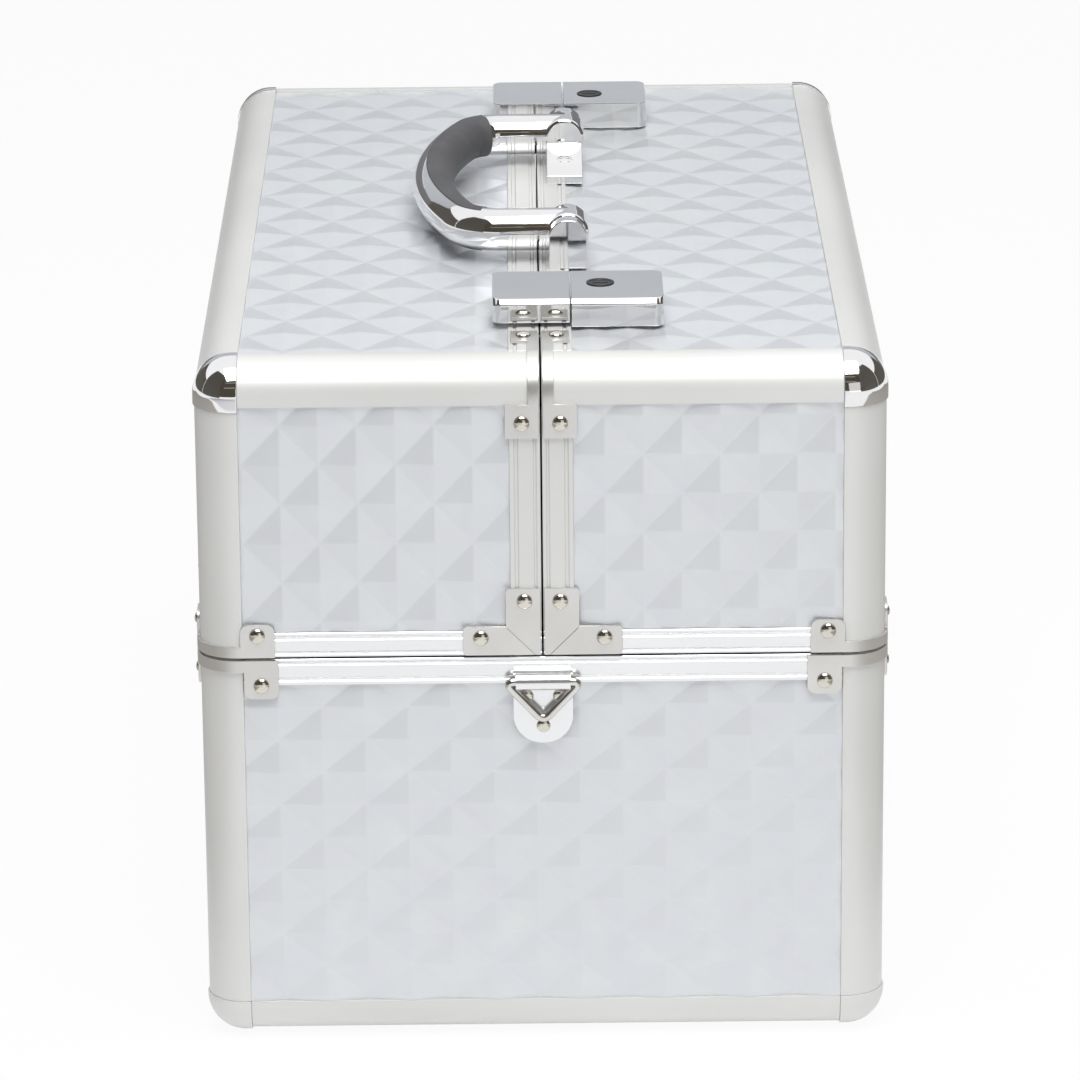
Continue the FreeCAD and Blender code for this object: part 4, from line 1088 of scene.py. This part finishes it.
@dataclass
class Latches:
    """Two latches on the lids: lock body and key cylinder on the right, hasp on the left."""

    y: float = 126.85 * MM
    half: float = 14.5 * MM
    top: float = 233.0 * MM
    slope: float = 1.5 * MM
    corner: float = 3.0 * MM
    lip: float = 5.5 * MM
    edge: float = 0.3 * MM
    spare: float = 1.0 * MM
    lock_x: Pair = mm(10.1, 39.4)
    foot_x: Pair = mm(13.9, 35.4)
    foot_half: float = 10.5 * MM
    foot_z: Pair = mm(-1.5, 0.3)  # from the top of the case
    key_x: float = 19.5 * MM
    key_r: float = 4.45 * MM
    key_z: Pair = mm(3.3, 0.3)  # above the top of the case, above the latch
    key_play: Pair = mm(0.05, 0.3)  # round it, under it
    key_rim: float = 0.7 * MM
    key_dish: Pair = mm(0.25, -0.35)  # width and depth of its slope
    key_slot: Triple = mm(2.4, 0.5, 2.6)  # half length, half width, depth
    key_edge: float = 0.1 * MM
    hasp_x: Pair = mm(-14.9, 9.7)
    hasp_z: float = 225.4 * MM
    hollow: float = 11.3 * MM
    walls: Triple = mm(0.9, 1.2, 1.2)  # outer end, inner end, roof
    relief: float = 1.6 * MM
    axis_x: float = -12.3 * MM
    axis_z: float = 227.8 * MM
    eye: Pair = mm(1.8, 3.6)  # radius and half length
    eye_bore: Pair = mm(0.95, 6.0)  # radius and half length
    stem: Pair = mm(1.2, 1.0)  # half width, below the top

    def _block(self, x: Pair, half: float, z: Pair) -> Part:
        """Add a block across the front latch's centre line, from its spans and half its depth."""
        return Bench.block((x[0], -self.y - half, z[0]), (x[1], -self.y + half, z[1]))

    def _pin(self, radius: float, half: float) -> Part:
        """Add a bar on the front hasp's axis, from its radius and half its length."""
        return Bench.rod(radius, (self.axis_x, -self.y - half, self.axis_z),
                         (self.axis_x, -self.y + half, self.axis_z), SMALL_ROUND)

    def _key(self, radius: float, z: Pair) -> Part:
        """Add a bar on the front key's axis, from its radius and its ends."""
        return Bench.rod(radius, (self.key_x, -self.y, z[0]), (self.key_x, -self.y, z[1]), LARGE_ROUND)

    def _shell(self, x: Pair, z0: float, outer: float) -> Part:
        """Model one latch half with a sloped front edge and a rounded outer end.

        Args:
            x: where it starts and stops across the case.
            z0: its underside.
            outer: x of the end that is rounded.

        Returns:
            The latch half at the front latch.
        """
        obj = Bench.block((x[0], -self.y - self.half - self.lip, z0), (x[1], -self.y + self.half, self.top))
        with Bench.edit(obj):
            Bench.round_over(obj, lambda c, d: abs(d.x) > ALIGNED and c.z > self.top - EPS and c.y < -self.y,
                             self.slope, 1)
            Bench.round_over(obj, lambda c, d: abs(c.x - outer) < EPS and abs(d.z) > 0.5, self.corner, 6)
        return Bench.soften(obj, self.edge, 2, 25.0)

    def lock_body(self) -> Part:
        """Model the lock body with its bore for the key cylinder.

        Returns:
            The front lock body.
        """
        z0 = SIZES.height
        obj = self._shell(self.lock_x, z0, self.lock_x[1])
        Bench.boolean(obj, self._block(self.foot_x, self.foot_half, (z0 + self.foot_z[0], z0 + self.foot_z[1])),
                      "UNION")
        round_play, end_play = self.key_play
        Bench.boolean(obj, self._key(self.key_r + round_play,
                                     (z0 + self.key_z[0] - end_play, self.top + self.spare)))
        return Bench.soften(obj)

    def cylinder(self) -> Part:
        """Model the key cylinder with a rim, a dished face and a key slot.

        Returns:
            The front key cylinder.
        """
        z0, z1 = SIZES.height + self.key_z[0], self.top + self.key_z[1]
        long, wide, deep = self.key_slot
        obj = self._key(self.key_r, (z0, z1))
        with Bench.edit(obj):
            Bench.pick(obj, Element.FACE, lambda c, d: d.z > ALIGNED)
            bpy.ops.mesh.inset(thickness=self.key_rim, depth=0.0)
            bpy.ops.mesh.inset(thickness=self.key_dish[0], depth=self.key_dish[1])
        Bench.boolean(obj, self._block((self.key_x - long, self.key_x + long), wide, (z1 - deep, z1 + self.spare)))
        return Bench.soften(obj, self.key_edge, 1, 50.0)

    def hasp(self) -> Part:
        """Model the hasp: a cover that is hollow underneath.

        Returns:
            The front hasp.
        """
        x0, x1 = self.hasp_x
        outer, inner, roof = self.walls
        stem, stem_top = self.stem
        under = self.hasp_z - self.spare
        obj = self._shell(self.hasp_x, self.hasp_z, x0)
        for x, z in (((x0 + outer, x1 - inner), self.top - roof),
                     ((x0 - self.spare, self.axis_x), self.axis_z + self.relief)):
            Bench.boolean(obj, self._block(x, self.hollow, (under, z)))
        Bench.boolean(obj, self._block((self.axis_x - stem, self.axis_x + stem), self.eye[1],
                                       (self.axis_z, self.top - stem_top)), "UNION")
        Bench.boolean(obj, self._pin(*self.eye), "UNION")
        Bench.boolean(obj, self._pin(*self.eye_bore))
        return Bench.soften(obj)

    def build(self) -> None:
        """Model and dress both latches."""
        SHOP.sign_off(Bench.mirrored([self.lock_body()], Axis.Y), "lock_bodies_chrome", "right_lid", CHROME,
                      "right_lid_lock_bodies")
        SHOP.both_ends(self.cylinder(), "lock_cylinder_made_", "lock_", LOCK_BLACK, "lock_cylinder_")
        SHOP.both_ends(self.hasp(), "hasp_made_", "hasp_", CHROME, "hasp_")
        SHOP.dress_node("left_lid_hasp_plates", CHROME)


@dataclass
class CarryHandle:
    """Folding chrome handle with a grip pad on the inner side of its bend."""

    pivot_x: float = 9.8 * MM
    pivot_z: float = 234.0 * MM
    tube: float = 7.0 * MM
    ease: float = 0.02 * MM
    half: float = 64.0 * MM
    bend_x: float = -12.0 * MM
    bend_r: float = 14.0 * MM
    reach: float = 23.0 * MM
    knob_round: float = 1.4 * MM
    bore: float = 2.05 * MM
    bore_run: Pair = mm(6.0, 9.0)  # inward and outward from the middle of the tube
    pad: float = 0.25 * MM
    pad_round: float = 0.5 * MM
    grip_skip: float = math.radians(24.0)
    grip_inset: float = -2.2 * MM
    lug: float = 5.8 * MM
    lug_gap: float = 0.4 * MM
    arm_gap: float = 0.6 * MM
    lug_round: float = 5.6 * MM
    foot: float = 6.2 * MM
    toe_y: float = -33.0 * MM
    base: float = 2.4 * MM
    ramp: float = 6.6 * MM
    fall: float = 6.2 * MM
    edge: float = 0.7 * MM
    pin: float = 2.0 * MM
    pin_run: Pair = mm(1.0, 12.0)  # into the lug and out of it
    screw_y: float = -44.5 * MM
    screw_rise: float = 5.55 * MM
    screw_sink: float = 0.15 * MM
    screw_slope: Triple = (0.0, 6.2, 17.0)
    screw_slot: tuple[Triple, Triple] = (mm(-1.7, -0.3, 0.5), mm(1.7, 0.3, 2.0))
    screw: Fasteners = field(default_factory=lambda: Fasteners(2.6 * MM, 1.1 * MM))
    sides: int = 32

    def _section(self, x: float, radius: float) -> Part:
        """Add the tube's round section on its front arm.

        Args:
            x: its place across the case.
            radius: its radius.

        Returns:
            The section.
        """
        Bench.deselect()
        bpy.ops.mesh.primitive_circle_add(
            vertices=self.sides, radius=radius, fill_type="NGON", location=(x, -self.half, self.pivot_z),
            rotation=(0.0, math.pi / 2.0, 0.0))
        return Bench.settle(bpy.context.object)

    def _sweep(self, skip: float, steps: int) -> None:
        """Spin the selected section through the short bend, the long bend and the short bend.

        Args:
            skip: angle that is left out at the outer end of each short bend.
            steps: steps in each short bend.
        """
        side_y = self.half - self.bend_r
        big = (self.reach ** 2 + side_y ** 2 - self.bend_r ** 2) / (2.0 * (self.reach - self.bend_r))
        centre_x = self.bend_x - self.reach + big
        turn = math.atan2(side_y, centre_x - self.bend_x)
        short = math.pi / 2.0 - turn - skip
        for angle, x, y, count in ((short, self.bend_x, -side_y, steps), (2.0 * turn, centre_x, 0.0, 22),
                                   (short, self.bend_x, side_y, steps)):
            bpy.ops.mesh.spin(steps=count, angle=angle, center=(x, y, self.pivot_z), axis=EZ)

    def bow(self) -> Part:
        """Model the tube by extruding and spinning its round section.

        Returns:
            The bow, folded to the left.
        """
        x, z = self.pivot_x, self.pivot_z
        obj = self._section(x, self.tube)
        with Bench.edit(obj):
            Bench.every()
            Bench.push((self.bend_x - x, 0.0, 0.0))
            self._sweep(0.0, 10)
            Bench.push((x - self.bend_x, 0.0, 0.0))
        Bench.outward(obj)
        size = self.tube - self.ease
        start, stop = self.bore_run
        for sign in (-1.0, 1.0):
            knob = Bench.rod(size, (x, sign * (self.half - size), z), (x, sign * (self.half + size), z), LARGE_ROUND)
            with Bench.edit(knob):
                Bench.round_over(knob, lambda c, d: abs(abs(abs(c.y) - self.half) - size) < EPS, self.knob_round, 4)
            Bench.boolean(obj, knob, "UNION")
            Bench.boolean(obj, Bench.rod(self.bore, (x, sign * (self.half - start), z),
                                         (x, sign * (self.half + stop), z), SMALL_ROUND))
        return Bench.soften(obj)

    def grip(self) -> Part:
        """Model the pad that is let into the inner half of the long bend.

        Returns:
            The pad.
        """
        obj = self._section(self.bend_x, self.tube + self.pad)
        with Bench.edit(obj):
            Bench.clip((0.0, -self.half + self.grip_inset, 0.0), OUT)
            Bench.clip((0.0, 0.0, self.pivot_z + self.tube), EZ)
            Bench.every()
            bpy.ops.transform.rotate(value=self.grip_skip, orient_axis="Z",
                                     center_override=(self.bend_x, self.bend_r - self.half, self.pivot_z))
            self._sweep(self.grip_skip, 8)
        Bench.outward(obj)
        return Bench.soften(obj, self.pad_round, 3, 50.0)

    def bracket(self) -> Part:
        """Model one bracket: a sloped foot, an outer lug and a stub pin.

        Returns:
            The front bracket.
        """
        h = SIZES.height
        x, z = self.pivot_x, self.pivot_z
        lug_in = self.half + self.tube + self.lug_gap
        arm_in = self.half - self.tube - self.arm_gap
        obj = Bench.block((x - self.foot, -lug_in - self.lug, h), (x + self.foot, self.toe_y, h + self.base))
        with Bench.edit(obj):
            Bench.score((0.0, -arm_in, 0.0), EY)
            Bench.score((0.0, -lug_in, 0.0), EY)
            Bench.pull(obj, Element.FACE, lambda c, d: d.z > ALIGNED and c.y > -arm_in, (0.0, 0.0, self.ramp))
            Bench.pick(obj, Element.VERT, lambda c, d: c.z > h + self.ramp and c.y > self.toe_y - EPS)
            bpy.ops.transform.translate(value=(0.0, 0.0, -self.fall))
            Bench.pull(obj, Element.FACE, lambda c, d: d.z > ALIGNED and c.y < -lug_in,
                       (0.0, 0.0, z + self.foot - h - self.base))
            Bench.round_over(obj, lambda c, d: abs(d.y) > ALIGNED and c.z > z, self.lug_round, 10)
        Bench.outward(obj)
        Bench.soften(obj, self.edge, 3, 30.0)
        back, out = self.pin_run
        Bench.boolean(obj, Bench.rod(self.pin, (x, -lug_in - back, z), (x, -lug_in + out, z), SMALL_ROUND), "UNION")
        slope = Vector(self.screw_slope).normalized()
        seat = Vector((x, self.screw_y, h + self.screw_rise))
        head = self.screw.dome(seat - slope * self.screw_sink, slope)
        slot = Bench.block(*self.screw_slot)
        slot.data.transform(Matrix.Translation(seat) @ Bench.turn_to(slope))
        Bench.boolean(head, slot)
        Bench.boolean(obj, head, "UNION")
        return Bench.soften(obj)

    def build(self) -> None:
        """Model and dress the handle and its brackets."""
        SHOP.sign_off([self.bow()], "handle_bow_chrome", "handle", CHROME, "handle_bow")
        SHOP.sign_off([self.grip()], "handle_grip_pad", "handle", GRIP, "handle_grip")
        SHOP.sign_off(Bench.mirrored([self.bracket()], Axis.Y), "handle_brackets_chrome", "right_lid",
                      CHROME, "handle_brackets")


class Interior:
    """Lining, trays, arms and the bottom board, which keep their solids."""

    def build(self) -> None:
        """Dress what shows when the lids are open."""
        SHOP.dress_node("base_bottom_panel", BOARD)
        SHOP.dress_node("base_arm_studs", NICKEL)
        for body in ("base", "right_lid", "left_lid"):
            SHOP.dress_node(body + "_lining", FLOCK)
        for side in ("right", "left"):
            for kind in ("_lid_tray_pins", "_arm_a", "_arm_b", "_lower_tray_studs", "_upper_tray_studs"):
                SHOP.dress_node(side + kind, NICKEL)
            for level in ("_lower_tray", "_upper_tray"):
                SHOP.dress_node(side + level, TRAY_BLACK)


@dataclass
class Studio:
    """Pale floor, soft light, grey cards for the metal to mirror, and the camera."""

    eye: Triple = mm(-6.4, -2010.0, 752.5)
    yaw: float = 0.183
    pitch: float = 17.82
    roll: float = -0.53
    focal_px: float = 6137.0
    image_px: float = 1080.0
    sensor: float = 36.0
    aim: Triple = (0.0, 0.0, 0.12)
    paint: float = 0.92
    floor_share: float = 0.93
    ambient: float = 0.31

    def camera(self) -> None:
        """Set the camera at the photograph's viewing angle."""
        yaw, pitch, roll = (math.radians(v) for v in (self.yaw, self.pitch, self.roll))
        ahead = Vector((math.sin(yaw) * math.cos(pitch), math.cos(yaw) * math.cos(pitch), -math.sin(pitch)))
        right = Vector((math.cos(yaw), -math.sin(yaw), 0.0))
        up = right.cross(ahead)
        cam_x = right * math.cos(roll) + up * math.sin(roll)
        cam_y = up * math.cos(roll) - right * math.sin(roll)
        data = bpy.data.cameras.new("view")
        data.sensor_width = self.sensor
        data.sensor_fit = "HORIZONTAL"
        data.lens = self.focal_px / self.image_px * self.sensor
        obj = bpy.data.objects.new("view", data)
        bpy.context.scene.collection.objects.link(obj)
        place = Matrix((cam_x, cam_y, -ahead)).transposed().to_4x4()
        place.translation = self.eye
        obj.matrix_world = place
        bpy.context.scene.camera = obj

    @staticmethod
    def _seen(tree: bpy.types.NodeTree) -> Socket:
        """Add a mask of the rays that look at the background: camera, glossy and transmission.

        Args:
            tree: the node tree that it is added to.

        Returns:
            The mask.
        """
        path = tree.nodes.new("ShaderNodeLightPath")
        total = path.outputs["Is Camera Ray"]
        for name in ("Is Glossy Ray", "Is Transmission Ray"):
            add = tree.nodes.new("ShaderNodeMath")
            add.operation = "MAXIMUM"
            tree.links.new(total, add.inputs[0])
            tree.links.new(path.outputs[name], add.inputs[1])
            total = add.outputs[0]
        return total

    def floor(self) -> None:
        """Lay the white floor, which keeps the object's shadow."""
        Bench.deselect()
        bpy.ops.mesh.primitive_plane_add(size=24.0, location=(0.0, 0.0, -0.0005))
        obj = bpy.context.object
        obj.name = "floor"
        mat = bpy.data.materials.new("floor_white")
        mat.use_nodes = True
        tree = mat.node_tree
        tree.nodes.clear()
        out, paint, glow, mix, share = (tree.nodes.new("ShaderNode" + kind) for kind in (
            "OutputMaterial", "BsdfDiffuse", "Emission", "MixShader", "Math"))
        paint.inputs["Color"].default_value = (self.paint, self.paint, self.paint, 1.0)
        glow.inputs["Strength"].default_value = 1.0
        share.operation = "MULTIPLY"
        share.inputs[1].default_value = self.floor_share
        for source, target in ((self._seen(tree), share.inputs[0]), (share.outputs[0], mix.inputs["Fac"]),
                               (paint.outputs[0], mix.inputs[1]), (glow.outputs[0], mix.inputs[2]),
                               (mix.outputs[0], out.inputs["Surface"])):
            tree.links.new(source, target)
        obj.data.materials.append(mat)

    def world(self) -> None:
        """White surroundings for what looks at them, softer for the light they give."""
        world = bpy.data.worlds.new("surroundings")
        bpy.context.scene.world = world
        world.use_nodes = True
        tree = world.node_tree
        back = tree.nodes["Background"]
        back.inputs["Color"].default_value = (1.0, 1.0, 1.0, 1.0)
        level = tree.nodes.new("ShaderNodeMapRange")
        level.inputs["To Min"].default_value = self.ambient
        level.inputs["To Max"].default_value = 1.0
        tree.links.new(self._seen(tree), level.inputs["Value"])
        tree.links.new(level.outputs["Result"], back.inputs["Strength"])

    def card(self, name: str, centre: Triple, size: Pair, tone: Triple, flat: bool = False,
             glow: float = 0.0) -> None:
        """Stand a grey card that only the metal sees.

        Args:
            name: name of the card.
            centre: its centre.
            size: width and height.
            tone: its colour.
            flat: lay it on the floor.
            glow: how much of its tone it shows without any light on it.
        """
        Bench.deselect()
        way = Vector(EZ) if flat else Vector((centre[0], centre[1], 0.0)).normalized()
        bpy.ops.mesh.primitive_plane_add(size=1.0, location=centre, rotation=way.to_track_quat("Z", "Y").to_euler())
        obj = bpy.context.object
        obj.name = name
        obj.scale = (*size, 1.0)
        obj.visible_camera = obj.visible_shadow = obj.visible_diffuse = False
        mat = bpy.data.materials.new(name)
        mat.use_nodes = True
        shader = mat.node_tree.nodes["Principled BSDF"]
        for entry, value in (("Base Color", (*tone, 1.0)), ("Roughness", 0.9), ("Emission Color", (*tone, 1.0)),
                             ("Emission Strength", glow)):
            shader.inputs[entry].default_value = value
        obj.data.materials.append(mat)

    def lamp(self, name: str, place: Triple, size: float, power: float) -> None:
        """Hang one square soft box that looks at the case.

        Args:
            name: name of the lamp.
            place: where it hangs.
            size: length of its sides.
            power: watts.
        """
        data = bpy.data.lights.new(name, "AREA")
        data.shape = "RECTANGLE"
        data.size = data.size_y = size
        data.energy = power
        obj = bpy.data.objects.new(name, data)
        bpy.context.scene.collection.objects.link(obj)
        obj.location = place
        obj.rotation_euler = (Vector(self.aim) - Vector(place)).to_track_quat("-Z", "Y").to_euler()

    def build(self) -> None:
        """Set the whole studio."""
        self.camera()
        self.floor()
        self.world()
        self.lamp("overhead", (0.1, -0.7, 1.8), 1.3, 29.0)
        self.lamp("front_right", (0.7, -2.2, 0.6), 1.0, 2.0)
        self.card("card_floor", (-0.8, -1.55, 0.002), (1.6, 1.5), (0.72, 0.72, 0.75), True)
        self.card("card_back", (0.0, 3.2, 1.45), (5.0, 1.3), (0.88, 0.91, 0.95), glow=0.15)
        self.card("card_back_low", (0.0, 3.1, 0.35), (5.0, 0.8), (0.42, 0.42, 0.44))
        self.card("card_left", (-3.0, -1.7, 3.45), (3.8, 7.0), (0.22, 0.20, 0.17))
        self.card("card_right", (3.0, -1.7, 3.45), (3.8, 7.0), (0.26, 0.24, 0.21))
        for side in (-1.0, 1.0):
            self.card("card_far", (side * 3.0, 1.9, 1.1), (4.4, 2.2), (0.24, 0.22, 0.19))
            self.card("card_side", (side * 0.75, 0.0, 0.002), (1.1, 1.3), (0.44, 0.42, 0.39), True)
        self.card("card_front", (0.0, -3.6, 3.45), (7.0, 6.5), (0.19, 0.155, 0.105))
        self.card("stripe_low", (0.0, -3.5, 1.9), (2.6, 0.16), (1.0, 0.98, 0.92))
        self.card("stripe_high", (0.0, -3.5, 3.2), (2.6, 0.22), (1.0, 0.98, 0.92))
        bpy.context.scene.view_settings.view_transform = "Standard"


def main() -> None:
    """Build every sub-assembly in order, then the studio."""
    logging.basicConfig(level=logging.INFO, format="%(name)s: %(message)s")
    assemblies = (PanelSet(), RoundedRails(), GroovedRails(), SeamHardware(), StrapFittings(), Latches(),
                  CarryHandle(), Interior(), Studio())
    for assembly in assemblies:
        LOG.info("building %s", type(assembly).__name__)
        assembly.build()
    Bench.deselect()


if __name__ == "__main__":
    main()
